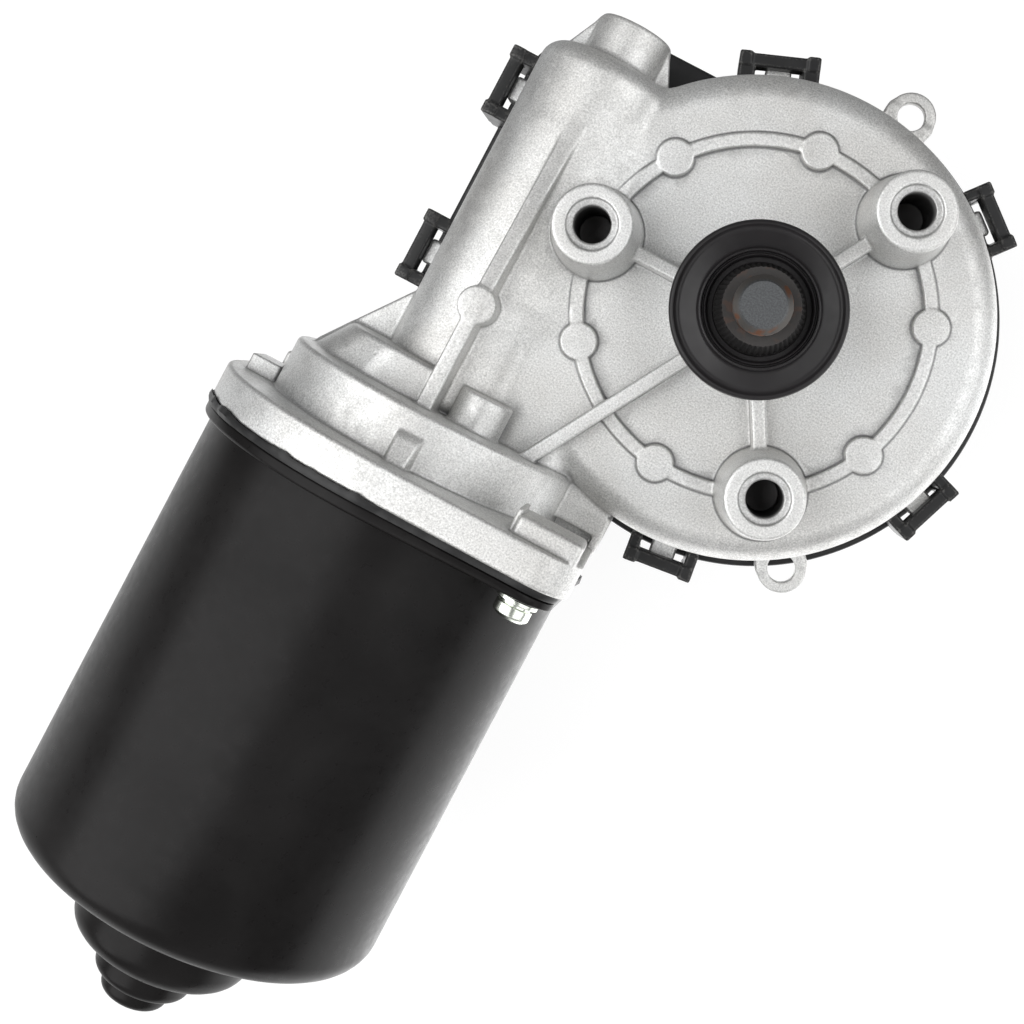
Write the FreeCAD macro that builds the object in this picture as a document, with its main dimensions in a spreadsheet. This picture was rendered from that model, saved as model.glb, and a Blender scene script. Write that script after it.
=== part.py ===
import FreeCAD, Part
import math
import os
import Sketcher

from FreeCAD import Placement, Rotation, Vector

# Windscreen wiper motor: a permanent-magnet motor drives a worm, and the worm
# wheel turns a threaded output shaft.
# The origin is on the output shaft's axis, level with the three mounting bosses.
# +Z runs out along the output shaft, and the motor can points along -Y.

os.makedirs("parts", exist_ok=True)
doc = FreeCAD.newDocument("wiper_motor")

# Driving sizes in millimetres, degrees or counts

SIZES = {
    # Worm and wheel
    "tooth_count": 62,
    "gear_module": 1.3,
    "worm_pitch_radius": 5.0,
    "tooth_addendum": 1.0,
    "tooth_dedendum": 1.56,
    "flank_slope": 0.36,
    "tooth_play": 0.4,
    "wheel_width": 9.0,
    "wheel_rim_wall": 3.2,
    "wheel_hub_wall": 5.5,
    "wheel_web": 3.4,
    "wheel_rib_width": 2.0,
    "wheel_rib_count": 6,
    "worm_turns": 8,
    # Heights below the mounting face
    "worm_depth": 26.5,
    "plateau_depth": 16.5,
    "recess_step": 1.0,
    "rim_drop": 0.2,
    "ceiling_thickness": 3.2,
    # Gear housing
    "wheel_room": 1.6,
    "housing_wall": 3.6,
    "disc_draft": 0.5,
    "floor_reach": 17.0,
    "shoulder_round": 5.5,
    "tunnel_radius": 14.4,
    "tunnel_bore": 9.5,
    "tunnel_reach": 30.5,
    "tunnel_round": 3.5,
    "side_wall_reach": 28.0,
    "side_room_setback": 5.0,
    "boss_circle_radius": 33.0,
    "boss_top_radius": 7.3,
    "boss_base_radius": 8.7,
    "boss_hole_radius": 3.35,
    "boss_hole_depth": 15.0,
    "boss_sink_radius": 4.8,
    "boss_sink_depth": 0.45,
    "ring_rib_width": 2.5,
    "ring_rib_height": 1.5,
    "pad_radius": 3.5,
    "pad_angle": 36.0,
    "spoke_width": 2.7,
    "spoke_height": 6.0,
    "hub_base_radius": 14.6,
    "hub_top_radius": 12.6,
    "hub_height": 3.0,
    "long_rib_width": 2.6,
    "long_rib_height": 20.7,
    "long_rib_pad_radius": 3.6,
    "long_rib_pad_reach": 22.2,
    "long_rib_foot": 5.0,
    "long_rib_setback": 5.0,
    "long_rib_sink": 0.4,
    "ear_radius": 5.0,
    "ear_hole_radius": 2.8,
    "ear_thickness": 2.5,
    "ear_top_radius": 52.3,
    "ear_top_angle": 79.4,
    "ear_low_radius": 49.9,
    "ear_low_angle": -54.6,
    # Thrust end of the worm tunnel
    "thrust_boss_radius": 7.4,
    "thrust_boss_reach": 38.9,
    "thrust_thread_radius": 4.0,
    "thrust_screw_setback": 0.6,
    "thrust_slot_depth": 1.2,
    "thrust_slot_width": 1.0,
    "thrust_pad_length": 2.0,
    "thrust_pad_inset": 0.2,
    "gusset_thickness": 2.2,
    # Forms cast between the tunnel and the drum
    "neck_reach": 36.0,
    "neck_top": 17.6,
    "neck_flat": 10.8,
    "neck_shoulder_top": 14.0,
    "neck_shoulder_low": 9.0,
    "neck_shoulder_in": 5.0,
    "neck_edge_in": 1.5,
    "neck_side_foot": 2.0,
    "neck_width": 22.0,
    "neck_spread": 5.0,
    "neck_depth": 4.0,
    "neck_gusset_reach": 25.5,
    "neck_gusset_height": 8.0,
    "half_boss_radius": 5.2,
    "half_boss_across": 9.0,
    "half_boss_rise": 13.0,
    "half_boss_reach": 36.4,
    "lug_across": 2.0,
    "lug_width": 5.4,
    "lug_rise": 1.5,
    "lug_reach": 48.3,
    "web_across": 39.6,
    "web_wall": 1.7,
    "web_start": 46.6,
    "web_width": 4.4,
    "web_rise": 5.0,
    "gate_across": 35.2,
    "gate_width": 6.0,
    "gate_height": 3.3,
    "gate_rise": 8.0,
    # Drum and motor flange
    "drum_radius": 29.6,
    "drum_wall": 3.0,
    "drum_face": 43.1,
    "drum_spoke_reach": 51.1,
    "drum_round": 2.4,
    "flange_face": 53.3,
    "flange_radius": 39.2,
    "flange_thickness": 6.6,
    "flange_round": 1.0,
    "screw_pad_half": 6.2,
    "screw_pad_height": 3.9,
    "screw_pad_round": 1.2,
    "can_screw_circle": 45.0,
    "can_screw_angle": 45.0,
    "can_ear_radius": 7.6,
    "can_screw_radius": 2.5,
    "can_screw_head_radius": 4.2,
    "can_screw_head_height": 2.6,
    "can_screw_chamfer": 0.6,
    "can_screw_washer_overhang": 0.6,
    "can_screw_washer_thickness": 0.8,
    "can_screw_length": 12.0,
    # Motor can
    "gasket_thickness": 1.3,
    "can_radius": 37.5,
    "can_wall": 2.3,
    "can_flange_thickness": 2.2,
    "can_end": 147.0,
    "can_end_round": 5.5,
    "can_step_radius": 18.2,
    "can_step_length": 15.3,
    "can_step_round": 4.5,
    "can_nose_radius": 9.8,
    "can_nose_length": 6.7,
    "can_tip_radius": 6.8,
    "can_tip_length": 3.8,
    "can_nose_round": 2.0,
    "can_inside_step": 1.0,
    # Magnets and armature
    "magnet_thickness": 6.5,
    "magnet_length": 58.0,
    "magnet_span": 130.0,
    "air_gap": 0.8,
    "core_length": 50.0,
    "core_middle": 101.0,
    "slot_count": 12,
    "slot_inner_radius": 13.5,
    "slot_outer_radius": 24.0,
    "slot_mouth": 2.0,
    "tooth_width": 3.8,
    "winding_clearance": 0.15,
    "winding_seat": 0.4,
    "winding_overhang": 9.0,
    "winding_taper": 4.0,
    "sleeve_wall": 5.0,
    "sleeve_clearance": 0.5,
    "armature_shaft_radius": 4.0,
    "shaft_tail_chamfer": 0.4,
    "worm_relief": 2.0,
    "worm_relief_taper": 1.0,
    "worm_root_sink": 0.3,
    "worm_end_radius": 3.2,
    "worm_end_setback": 1.0,
    "worm_end_chamfer": 0.6,
    "commutator_radius": 11.5,
    "commutator_length": 15.0,
    "commutator_gap": 2.0,
    "commutator_bars": 12,
    "commutator_slit_width": 0.6,
    "commutator_slit_depth": 1.2,
    "commutator_slit_run": 3.0,
    # Brush gear
    "brush_plate_thickness": 2.0,
    "brush_plate_clearance": 2.5,
    "brush_setback": 0.4,
    "brush_width": 5.0,
    "brush_height": 7.0,
    "brush_length": 9.0,
    "brush_box_wall": 0.6,
    "brush_box_setback": 2.8,
    "brush_box_gap": 0.2,
    "spring_wire": 0.35,
    "spring_radius": 1.7,
    "choke_radius": 2.6,
    "choke_gap": 8.5,
    "choke_length": 11.0,
    # Bearings and small fits
    "running_fit": 0.08,
    "seat_gap": 0.3,
    "bearing_radius": 11.0,
    "bearing_width": 7.0,
    "worm_bush_radius": 5.6,
    "worm_bush_length": 6.0,
    "worm_bush_setback": 2.0,
    "worm_bush_run_in": 3.0,
    "worm_bore_gap": 0.5,
    "rear_bush_radius": 8.2,
    "rear_bush_length": 7.0,
    "rear_bush_setback": 5.0,
    "rear_bush_play": 0.5,
    # Output shaft
    "output_shaft_radius": 8.0,
    "output_bush_wall": 2.0,
    "lower_bush_length": 10.0,
    "upper_bush_length": 9.0,
    "upper_bush_setback": 2.5,
    "shaft_seal_setback": 2.4,
    "shaft_seal_width": 2.2,
    "output_tail": 2.5,
    "output_tail_chamfer": 0.8,
    "cone_start": 6.5,
    "cone_length": 8.0,
    "cone_top_radius": 6.7,
    "thread_radius": 5.0,
    "shaft_top": 20.5,
    "tip_chamfer": 1.2,
    "washer_thickness": 1.0,
    "washer_width": 4.0,
    "retaining_ring_width": 3.0,
    "retaining_ring_thickness": 0.7,
    # Rain cap
    "cap_radius": 15.8,
    "cap_rim_height": 5.6,
    "cap_skirt_depth": 1.0,
    "cap_wall": 1.4,
    "cap_rise": 1.2,
    "cap_rim_chamfer": 1.0,
    "cap_dish_rise": 0.6,
    "cap_collar_radius": 10.4,
    "cap_collar_wall": 1.2,
    "cap_collar_height": 1.6,
    # Cover, seal, latches and connector
    "seal_thickness": 0.8,
    "cover_overhang": 3.2,
    "cover_depth": 5.5,
    "cover_wall": 2.4,
    "cover_post_radius": 2.5,
    "cover_post_inset": 4.0,
    "cover_post_root": 0.5,
    "contact_plate_rise": 4.3,
    "latch_width": 14.8,
    "latch_reach": 5.4,
    "latch_window": 8.0,
    "latch_bar": 1.8,
    "latch_height": 10.0,
    "catch_width": 5.2,
    "catch_height": 5.0,
    "catch_root": 1.5,
    "catch_rise": 2.0,
    "socket_width": 24.0,
    "socket_height": 13.0,
    "socket_wall": 1.8,
    "socket_depth": 14.0,
    "socket_face": 39.0,
    "socket_across": 6.0,
    "socket_root": 4.0,
    "terminal_count": 5,
    "terminal_width": 2.4,
    "terminal_thickness": 0.8,
    "terminal_length": 9.0,
    "terminal_end_room": 0.6,
    # Park switch
    "contact_plate_radius": 30.0,
    "contact_plate_thickness": 1.6,
    "park_disc_radius": 28.0,
    "park_disc_thickness": 0.8,
    "park_notch_width": 12.0,
    "park_notch_depth": 7.0,
    "park_disc_clearance": 2.5,
    "finger_spacing": 5.5,
    "finger_inset": 4.0,
    "finger_foot": 5.0,
    "finger_run": 8.0,
    "finger_tip": 3.0,
    "finger_width": 2.4,
    "finger_thickness": 0.4,
    "finger_lean": 0.75,
}

sheet = doc.addObject("Spreadsheet::Sheet", "sheet")
for row, (name, number) in enumerate(SIZES.items(), start=1):
    sheet.set(f"A{row}", name)
    sheet.set(f"B{row}", str(number))
    sheet.setAlias(f"B{row}", name)
doc.recompute()


class Size:
    """A size with its number and the sheet expression that gives that number."""

    def __init__(self, number, text):
        self.number = float(number)
        self.text = text

    def __add__(self, other):
        other = as_size(other)
        return Size(self.number + other.number, f"({self.text} + {other.text})")

    def __sub__(self, other):
        other = as_size(other)
        return Size(self.number - other.number, f"({self.text} - {other.text})")

    def __mul__(self, other):
        other = as_size(other)
        return Size(self.number * other.number, f"({self.text} * {other.text})")

    def __truediv__(self, other):
        other = as_size(other)
        return Size(self.number / other.number, f"({self.text} / {other.text})")

    def __neg__(self):
        return Size(-self.number, f"(0 - {self.text})")

    def __radd__(self, other):
        return as_size(other) + self

    def __rsub__(self, other):
        return as_size(other) - self

    def __rmul__(self, other):
        return as_size(other) * self


def as_size(value):
    if isinstance(value, Size):
        return value
    return Size(value, f"({value})")


def cosine(angle):
    angle = as_size(angle)
    return Size(math.cos(math.radians(angle.number)), f"cos({angle.text} * 1 deg)")


def sine(angle):
    angle = as_size(angle)
    return Size(math.sin(math.radians(angle.number)), f"sin({angle.text} * 1 deg)")


class SheetSizes:
    """Every driving size by its name, read from the sheet."""

    def __init__(self):
        for name in SIZES:
            setattr(self, name, Size(getattr(sheet, name), f"sheet.{name}"))


size = SheetSizes()

# Places worked out from the driving sizes

wheel_pitch_radius = size.tooth_count * size.gear_module / 2
wheel_tip_radius = wheel_pitch_radius + size.tooth_addendum
wheel_root_radius = wheel_pitch_radius - size.tooth_dedendum
worm_tip_radius = size.worm_pitch_radius + size.tooth_addendum
worm_root_radius = size.worm_pitch_radius - size.tooth_dedendum
worm_lead = size.gear_module * math.pi
worm_length = worm_lead * size.worm_turns
worm_x = -(wheel_pitch_radius + size.worm_pitch_radius)
worm_z = -size.worm_depth
cavity_radius = wheel_tip_radius + size.wheel_room
disc_radius = cavity_radius + size.housing_wall
side_x = worm_x - size.tunnel_radius
rim_z = worm_z - size.tunnel_radius - size.rim_drop
plateau_z = -size.plateau_depth
recess_z = plateau_z - size.recess_step
ceiling_z = recess_z - size.ceiling_thickness
side_room_end = size.tunnel_reach - size.housing_wall - size.side_room_setback
wheel_top_z = worm_z + size.wheel_width / 2
wheel_bottom_z = worm_z - size.wheel_width / 2
cover_top_z = rim_z - size.seal_thickness
cover_bottom_z = cover_top_z - size.cover_depth
cover_floor_z = cover_bottom_z + size.cover_wall
flange_back_y = -(size.flange_face + size.flange_thickness)
can_front_y = flange_back_y - size.gasket_thickness
can_body_y = can_front_y - size.can_flange_thickness
bearing_seat_y = -(size.drum_face + size.drum_wall)
can_bore = size.can_radius - size.can_wall
magnet_outer = can_bore - size.running_fit
magnet_inner = magnet_outer - size.magnet_thickness
core_radius = magnet_inner - size.air_gap
core_middle_y = -size.core_middle
core_front_y = core_middle_y + size.core_length / 2
core_back_y = core_middle_y - size.core_length / 2
commutator_back_y = core_front_y + size.winding_overhang + size.commutator_gap
commutator_front_y = commutator_back_y + size.commutator_length
brush_rise = size.brush_plate_thickness + size.brush_box_wall
brush_plate_y = (commutator_front_y - size.brush_setback - size.brush_height
                 - brush_rise)
bush_outer_radius = size.output_shaft_radius + size.running_fit + size.output_bush_wall
can_step_end = size.can_end + size.can_step_length
can_nose_end = can_step_end + size.can_nose_length
can_tip_end = can_nose_end + size.can_tip_length
rear_bush_y = -(can_step_end - size.rear_bush_setback)
rear_room_y = rear_bush_y - size.rear_bush_length - size.rear_bush_play
worm_end_y = size.tunnel_reach - size.worm_end_setback
worm_bush_y = size.tunnel_reach - size.worm_bush_setback - size.worm_bush_length
socket_middle = worm_x + size.socket_across
contact_plate_z = cover_floor_z + size.contact_plate_rise
BOSS_ANGLES = (60, 180, 300)
EARS = (("ear_top", size.ear_top_radius, size.ear_top_angle),
        ("ear_low", size.ear_low_radius, size.ear_low_angle))
SIDES = ((1, "right"), (-1, "left"))
MARGIN = 1
SKIM = 0.01

nodes = {}


# Helpers that make and bind the document's objects

def bind(thing, prop, value):
    """Give a property its size, bound to the sheet where the size comes from it."""
    value = as_size(value)
    if "sheet." in value.text:
        thing.setExpression(prop, value.text)
    else:
        setattr(thing, prop, value.number)


def put(thing, x=0, y=0, z=0, turn=None):
    """Place an object at a bound position, turned about its own origin."""
    turn = turn or Rotation()
    x, y, z = as_size(x), as_size(y), as_size(z)
    thing.Placement = Placement(Vector(x.number, y.number, z.number), turn)
    for axis, value in (("x", x), ("y", y), ("z", z)):
        if "sheet." in value.text:
            thing.setExpression(f".Placement.Base.{axis}", value.text)
    return thing


ALONG_Y = Rotation(Vector(1, 0, 0), -90)
ALONG_X = Rotation(Vector(0, 1, 0), 90)


def about_z(angle):
    return Rotation(Vector(0, 0, 1), as_size(angle).number)


def cylinder(name, radius, height, x=0, y=0, z=0, turn=None):
    rod = doc.addObject("Part::Cylinder", name)
    bind(rod, "Radius", radius)
    bind(rod, "Height", height)
    return put(rod, x, y, z, turn)


def cone(name, base_radius, top_radius, height, x=0, y=0, z=0, turn=None):
    taper = doc.addObject("Part::Cone", name)
    bind(taper, "Radius1", base_radius)
    bind(taper, "Radius2", top_radius)
    bind(taper, "Height", height)
    return put(taper, x, y, z, turn)


def box(name, low, high):
    """A box from its low corner to its high corner."""
    block = doc.addObject("Part::Box", name)
    low = [as_size(value) for value in low]
    high = [as_size(value) for value in high]
    for prop, start, end in zip(("Length", "Width", "Height"), low, high):
        bind(block, prop, end - start)
    return put(block, *low)


def fuse(name, pieces, refine=False):
    whole = doc.addObject("Part::MultiFuse", name)
    whole.Shapes = pieces
    whole.Refine = refine
    return whole


def cut(name, base, tools):
    """The base with every tool taken out of it."""
    tool = tools[0] if len(tools) == 1 else fuse(f"{name}_tools", tools)
    rest = doc.addObject("Part::Cut", name)
    rest.Base = base
    rest.Tool = tool
    return rest


def group(name, pieces):
    """Separate solids kept together as one node."""
    whole = doc.addObject("Part::Compound", name)
    whole.Links = pieces
    return whole


def plane_of(body, role):
    return next(item for item in body.Origin.OriginFeatures if item.Role == role)


def outline(body, name, role, points, rise=0):
    """A closed outline of straight lines on one of the body's own planes."""
    sketch = body.newObject("Sketcher::SketchObject", name)
    sketch.AttachmentSupport = [(plane_of(body, role), "")]
    sketch.MapMode = "FlatFace"
    rise = as_size(rise)
    sketch.AttachmentOffset = Placement(Vector(0, 0, rise.number), Rotation())
    if "sheet." in rise.text:
        sketch.setExpression(".AttachmentOffset.Base.z", rise.text)
    corners = [(as_size(first), as_size(second)) for first, second in points]
    count = len(corners)
    for index in range(count):
        start = corners[index]
        end = corners[(index + 1) % count]
        line = Part.LineSegment(
            Vector(start[0].number, start[1].number, 0),
            Vector(end[0].number, end[1].number, 0),
        )
        sketch.addGeometry(line)
    for index in range(count):
        sketch.addConstraint(
            Sketcher.Constraint("Coincident", index, 2, (index + 1) % count, 1)
        )
    for index, corner in enumerate(corners):
        for kind, value in zip(("DistanceX", "DistanceY"), corner):
            number = sketch.addConstraint(
                Sketcher.Constraint(kind, -1, 1, index, 1, value.number)
            )
            if "sheet." in value.text:
                sketch.setExpression(f"Constraints[{number}]", value.text)
    return sketch


def turned(name, points):
    """A body turned about its own Z axis from (radius, height) points."""
    body = doc.addObject("PartDesign::Body", name)
    profile = outline(body, f"{name}_profile", "XZ_Plane", points)
    spin = body.newObject("PartDesign::Revolution", f"{name}_turn")
    spin.Profile = profile
    spin.ReferenceAxis = (plane_of(body, "Z_Axis"), [""])
    spin.Angle = 360
    doc.recompute()
    return body


def padded(name, points, height, z=0, taper=0):
    """A body raised from an outline in plan."""
    body = doc.addObject("PartDesign::Body", name)
    profile = outline(body, f"{name}_outline", "XY_Plane", points)
    pad = body.newObject("PartDesign::Pad", f"{name}_pad")
    pad.Profile = profile
    bind(pad, "Length", height)
    pad.TaperAngle = taper
    put(body, 0, 0, z)
    doc.recompute()
    return body


def rounded(body, name, radius, chosen):
    """Round the edges of a body's last feature that the test picks."""
    tip = body.Tip
    edges = [
        f"Edge{number}"
        for number, edge in enumerate(tip.Shape.Edges, start=1)
        if chosen(edge)
    ]
    fillet = body.newObject("PartDesign::Fillet", name)
    fillet.Base = (tip, edges)
    bind(fillet, "Radius", radius)
    doc.recompute()
    return body


def soft_corner(radius, height, round_size, way, bands=2):
    """Points round the outer corner of a turned profile, from its side to its end.

    The corner lies at this radius and height, and the body lies below it where
    way is 1 and above it where way is -1. The round is made of flat bands.
    """
    middle_radius = radius - round_size
    middle_height = height - round_size * way
    points = []
    for step in range(bands + 1):
        angle = 90 / bands * step
        points.append((middle_radius + round_size * cosine(angle),
                       middle_height + round_size * sine(angle) * way))
    return points


def circle_at(radius, height):
    """A test for the round edge of this radius at this height on the turning axis."""
    radius, height = as_size(radius).number, as_size(height).number

    def test(edge):
        curve = edge.Curve
        if not hasattr(curve, "Radius"):
            return False
        same_size = abs(curve.Radius - radius) < 1e-4
        return same_size and abs(curve.Center.z - height) < 1e-4

    return test


def solid_from(name, shape, x=0, y=0, z=0, turn=None):
    """A feature whose shape comes from the sheet's sizes in code."""
    thing = doc.addObject("Part::Feature", name)
    thing.Shape = shape
    return put(thing, x, y, z, turn)


def node(name, thing):
    thing.Label = name
    nodes[name] = thing
    return thing


# Gear housing: one aluminium die casting that carries both shafts

def housing_disc():
    body = turned("housing_disc", [
        (0, rim_z),
        (disc_radius, rim_z),
        (disc_radius - size.disc_draft, plateau_z),
        (0, plateau_z),
    ])
    return rounded(body, "housing_disc_round", size.shoulder_round,
                   circle_at(disc_radius - size.disc_draft, plateau_z))


def housing_shoulder():
    """The flat part that joins the round gear case to the worm tunnel."""
    reach = size.tunnel_reach
    body = padded("housing_shoulder", [
        (worm_x, -size.side_wall_reach),
        (0, -size.side_wall_reach),
        (0, reach),
        (worm_x, reach),
    ], plateau_z - rim_z, rim_z)
    height = (plateau_z - rim_z).number

    def top_edge(edge):
        first, last = edge.Vertexes[0].Point, edge.Vertexes[-1].Point
        level = min(first.z, last.z) > height - 1e-4
        return level and min(first.y, last.y) > reach.number - 1e-4

    return rounded(body, "housing_shoulder_round", size.shoulder_round, top_edge)


def worm_tunnel():
    start = -size.drum_face
    body = turned("worm_tunnel", [
        (0, start),
        (size.tunnel_radius, start),
        (size.tunnel_radius, size.tunnel_reach),
        (0, size.tunnel_reach),
    ])
    rounded(body, "worm_tunnel_round", size.tunnel_round,
            circle_at(size.tunnel_radius, size.tunnel_reach))
    return put(body, worm_x, 0, worm_z, ALONG_Y)


def thrust_boss():
    body = turned("thrust_boss", [
        (0, 0),
        (size.thrust_boss_radius, 0),
        (size.thrust_boss_radius, size.thrust_boss_reach),
        (0, size.thrust_boss_reach),
    ])
    return put(body, worm_x, 0, worm_z, ALONG_Y)


def thrust_gussets():
    foot = size.tunnel_radius - size.tunnel_round
    body = padded("thrust_gussets", [
        (worm_x - foot, size.tunnel_reach - MARGIN),
        (worm_x + foot, size.tunnel_reach - MARGIN),
        (worm_x + foot, size.tunnel_reach),
        (worm_x + size.thrust_boss_radius, size.thrust_boss_reach - MARGIN),
        (worm_x - size.thrust_boss_radius, size.thrust_boss_reach - MARGIN),
        (worm_x - foot, size.tunnel_reach),
    ], size.gusset_thickness, worm_z - size.gusset_thickness / 2)
    return body


def drum_and_flange():
    """The round end that takes the brush gear, and the flange for the can."""
    profile = [(0, flange_back_y), (size.flange_radius, flange_back_y)]
    profile += soft_corner(size.flange_radius, -size.flange_face, size.flange_round, 1)
    profile += [(size.drum_radius, -size.flange_face)]
    profile += soft_corner(size.drum_radius, -size.drum_face, size.drum_round, 1)
    profile += [(0, -size.drum_face)]
    return put(turned("drum_and_flange", profile), worm_x, 0, worm_z, ALONG_Y)


def can_screw_place(sign):
    across = size.can_screw_circle * cosine(size.can_screw_angle) * sign
    up = size.can_screw_circle * sine(size.can_screw_angle) * sign
    return worm_x + across, worm_z + up


def screw_ears(name, back_y, thickness, raised=0):
    """Two ears on opposite corners of a round flange, for the can's screws."""
    ears = []
    for sign, side in SIDES:
        x, z = can_screw_place(sign)
        ear = cylinder(f"{name}_{side}", size.can_ear_radius, thickness,
                       x, back_y, z, ALONG_Y)
        ears.append(ear)
        web = box(f"{name}_{side}_web", (0, -size.can_ear_radius, 0),
                  (size.can_screw_circle, size.can_ear_radius, thickness))
        turn = ALONG_Y.multiply(Rotation(Vector(0, 0, 1), 180 if sign < 0 else 0))
        turn = turn.multiply(Rotation(Vector(0, 0, 1), -size.can_screw_angle.number))
        half = size.can_ear_radius
        shift = turn.multVec(Vector(0, -half.number, 0))
        put(web, worm_x + shift.x, back_y + shift.y, worm_z + shift.z, turn)
        ears.append(web)
    return ears


def housing_screw_pads():
    """Square pads on the flange that the can's screws bite into."""
    pads = []
    half = size.screw_pad_half
    for sign, side in SIDES:
        x, z = can_screw_place(sign)
        pad = padded(f"screw_pad_{side}", [
            (-half, -half), (half, -half), (half, half), (-half, half),
        ], size.screw_pad_height + MARGIN)
        rounded(pad, f"screw_pad_{side}_round", size.screw_pad_round, upright)
        pads.append(put(pad, x, -size.flange_face - MARGIN, z, ALONG_Y))
    return pads


def upright(edge):
    """A test for straight edges along the body's own Z."""
    first, last = edge.Vertexes[0].Point, edge.Vertexes[-1].Point
    return abs(first.x - last.x) + abs(first.y - last.y) < 1e-4


def mounting_boss(name, angle):
    x = size.boss_circle_radius * cosine(angle)
    y = size.boss_circle_radius * sine(angle)
    foot = recess_z - MARGIN
    return cone(name, size.boss_base_radius, size.boss_top_radius, -foot, x, y, foot)


def spoke(name, angle, start, end, top):
    """A straight rib that runs out from the hub."""
    foot = recess_z - MARGIN
    rib = box(name, (start, -size.spoke_width / 2, foot),
              (end, size.spoke_width / 2, top))
    turn = about_z(angle)
    half = size.spoke_width / 2
    return put(rib, start * cosine(angle) + half * sine(angle),
               start * sine(angle) - half * cosine(angle), foot, turn)


def ring_pad(name, angle, radius, height):
    x = size.boss_circle_radius * cosine(angle)
    y = size.boss_circle_radius * sine(angle)
    return cylinder(name, radius, height, x, y, recess_z - MARGIN)


def housing_ribs():
    """The ring rib with its round pads, the spokes and the long rib."""
    rib_top = size.ring_rib_height + MARGIN
    ring = cut("ring_rib", cylinder(
        "ring_rib_outer", size.boss_circle_radius + size.ring_rib_width / 2,
        rib_top, 0, 0, recess_z - MARGIN,
    ), [cylinder(
        "ring_rib_inner", size.boss_circle_radius - size.ring_rib_width / 2,
        rib_top, 0, 0, recess_z - MARGIN,
    )])
    pieces = [ring]
    for third, boss_angle in enumerate(BOSS_ANGLES):
        for side in (-1, 1):
            angle = boss_angle + size.pad_angle * side
            pieces.append(ring_pad(f"ring_pad_{third}_{side + 1}", angle,
                                   size.pad_radius, rib_top))
        pieces.append(mounting_boss(f"mounting_boss_{third}", boss_angle))
        pieces.append(spoke(f"spoke_{third}", boss_angle, size.hub_top_radius,
                            size.boss_circle_radius, recess_z + size.spoke_height))
    pieces.append(spoke("drum_spoke", 240, size.hub_top_radius,
                        size.drum_spoke_reach, recess_z + size.spoke_height))
    return pieces


def long_rib():
    """The tall rib along the tunnel's crown, sloping down to its far end."""
    body = doc.addObject("PartDesign::Body", "long_rib")
    level = size.long_rib_height
    foot = size.long_rib_foot
    end = size.long_rib_pad_reach - size.long_rib_setback
    profile = outline(body, "long_rib_profile", "YZ_Plane", [
        (-size.drum_face - MARGIN, foot),
        (-size.drum_face - MARGIN, level),
        (-size.long_rib_pad_reach, level),
        (end, size.tunnel_radius - size.long_rib_sink),
        (end, foot),
    ])
    pad = body.newObject("PartDesign::Pad", "long_rib_pad")
    pad.Profile = profile
    bind(pad, "Length", size.long_rib_width)
    put(body, worm_x - size.long_rib_width / 2, 0, worm_z)
    doc.recompute()
    round_pad = cylinder("long_rib_round", size.long_rib_pad_radius, level - foot,
                         worm_x, -size.long_rib_pad_reach, worm_z + foot)
    return [body, round_pad]


def housing_ears():
    ears = []
    for name, reach, angle in EARS:
        x = reach * cosine(angle)
        y = reach * sine(angle)
        ears.append(cylinder(name, size.ear_radius, size.ear_thickness, x, y, rim_z))
        start = cavity_radius + MARGIN
        web = box(f"{name}_web", (0, 0, 0),
                  (reach - start, size.ear_radius * 2, size.ear_thickness))
        half = size.ear_radius
        put(web, start * cosine(angle) + half * sine(angle),
            start * sine(angle) - half * cosine(angle), rim_z, about_z(angle))
        ears.append(web)
    return ears


# Each latch: its direction, its wall's distance and its shift along the wall

DISC_LATCHES = (111.2, 50.6, -19.4, -82.8)
SIDE_LATCHES = (19.2, -17.3)


def latch_places():
    """Angle, distance of the wall and sideways shift for every cover latch."""
    places = [(angle, disc_radius, 0) for angle in DISC_LATCHES]
    places += [(180, -side_x, shift) for shift in SIDE_LATCHES]
    return places


def housing_catches():
    """Cast wedges that the cover's latches snap over."""
    catches = []
    for index, (angle, wall, shift) in enumerate(latch_places()):
        depth = size.latch_reach - size.latch_bar - size.seat_gap
        half = size.catch_width / 2
        catch = box(f"catch_{index}", (0, 0, 0),
                    (depth + size.catch_root, size.catch_width, size.catch_height))
        start = wall - size.catch_root
        put(catch, start * cosine(angle) + half * sine(angle),
            start * sine(angle) - half * cosine(angle) + shift,
            rim_z + size.catch_rise, about_z(angle))
        catches.append(catch)
    return catches


def neck_block():
    """The stepped block beside the long rib, which spreads towards the drum."""
    body = doc.addObject("PartDesign::Body", "neck_block")

    def section(spread):
        return [
            (0, size.neck_depth),
            (0, -size.neck_top),
            (-size.neck_flat, -size.neck_top),
            (-(size.neck_width - size.neck_shoulder_in + spread), -size.neck_shoulder_top),
            (-(size.neck_width - size.neck_edge_in + spread), -size.neck_shoulder_low),
            (-(size.neck_width + spread), -size.neck_side_foot),
            (-(size.neck_width + spread), size.neck_depth),
        ]

    length = size.drum_face - size.neck_reach + MARGIN
    wide = outline(body, "neck_block_wide", "XY_Plane", section(size.neck_spread))
    narrow = outline(body, "neck_block_narrow", "XY_Plane", section(0), length)
    loft = body.newObject("PartDesign::AdditiveLoft", "neck_block_loft")
    loft.Profile = wide
    loft.Sections = [narrow]
    loft.Ruled = True
    doc.recompute()
    return put(body, worm_x, -size.drum_face - MARGIN, worm_z, ALONG_Y)


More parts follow.
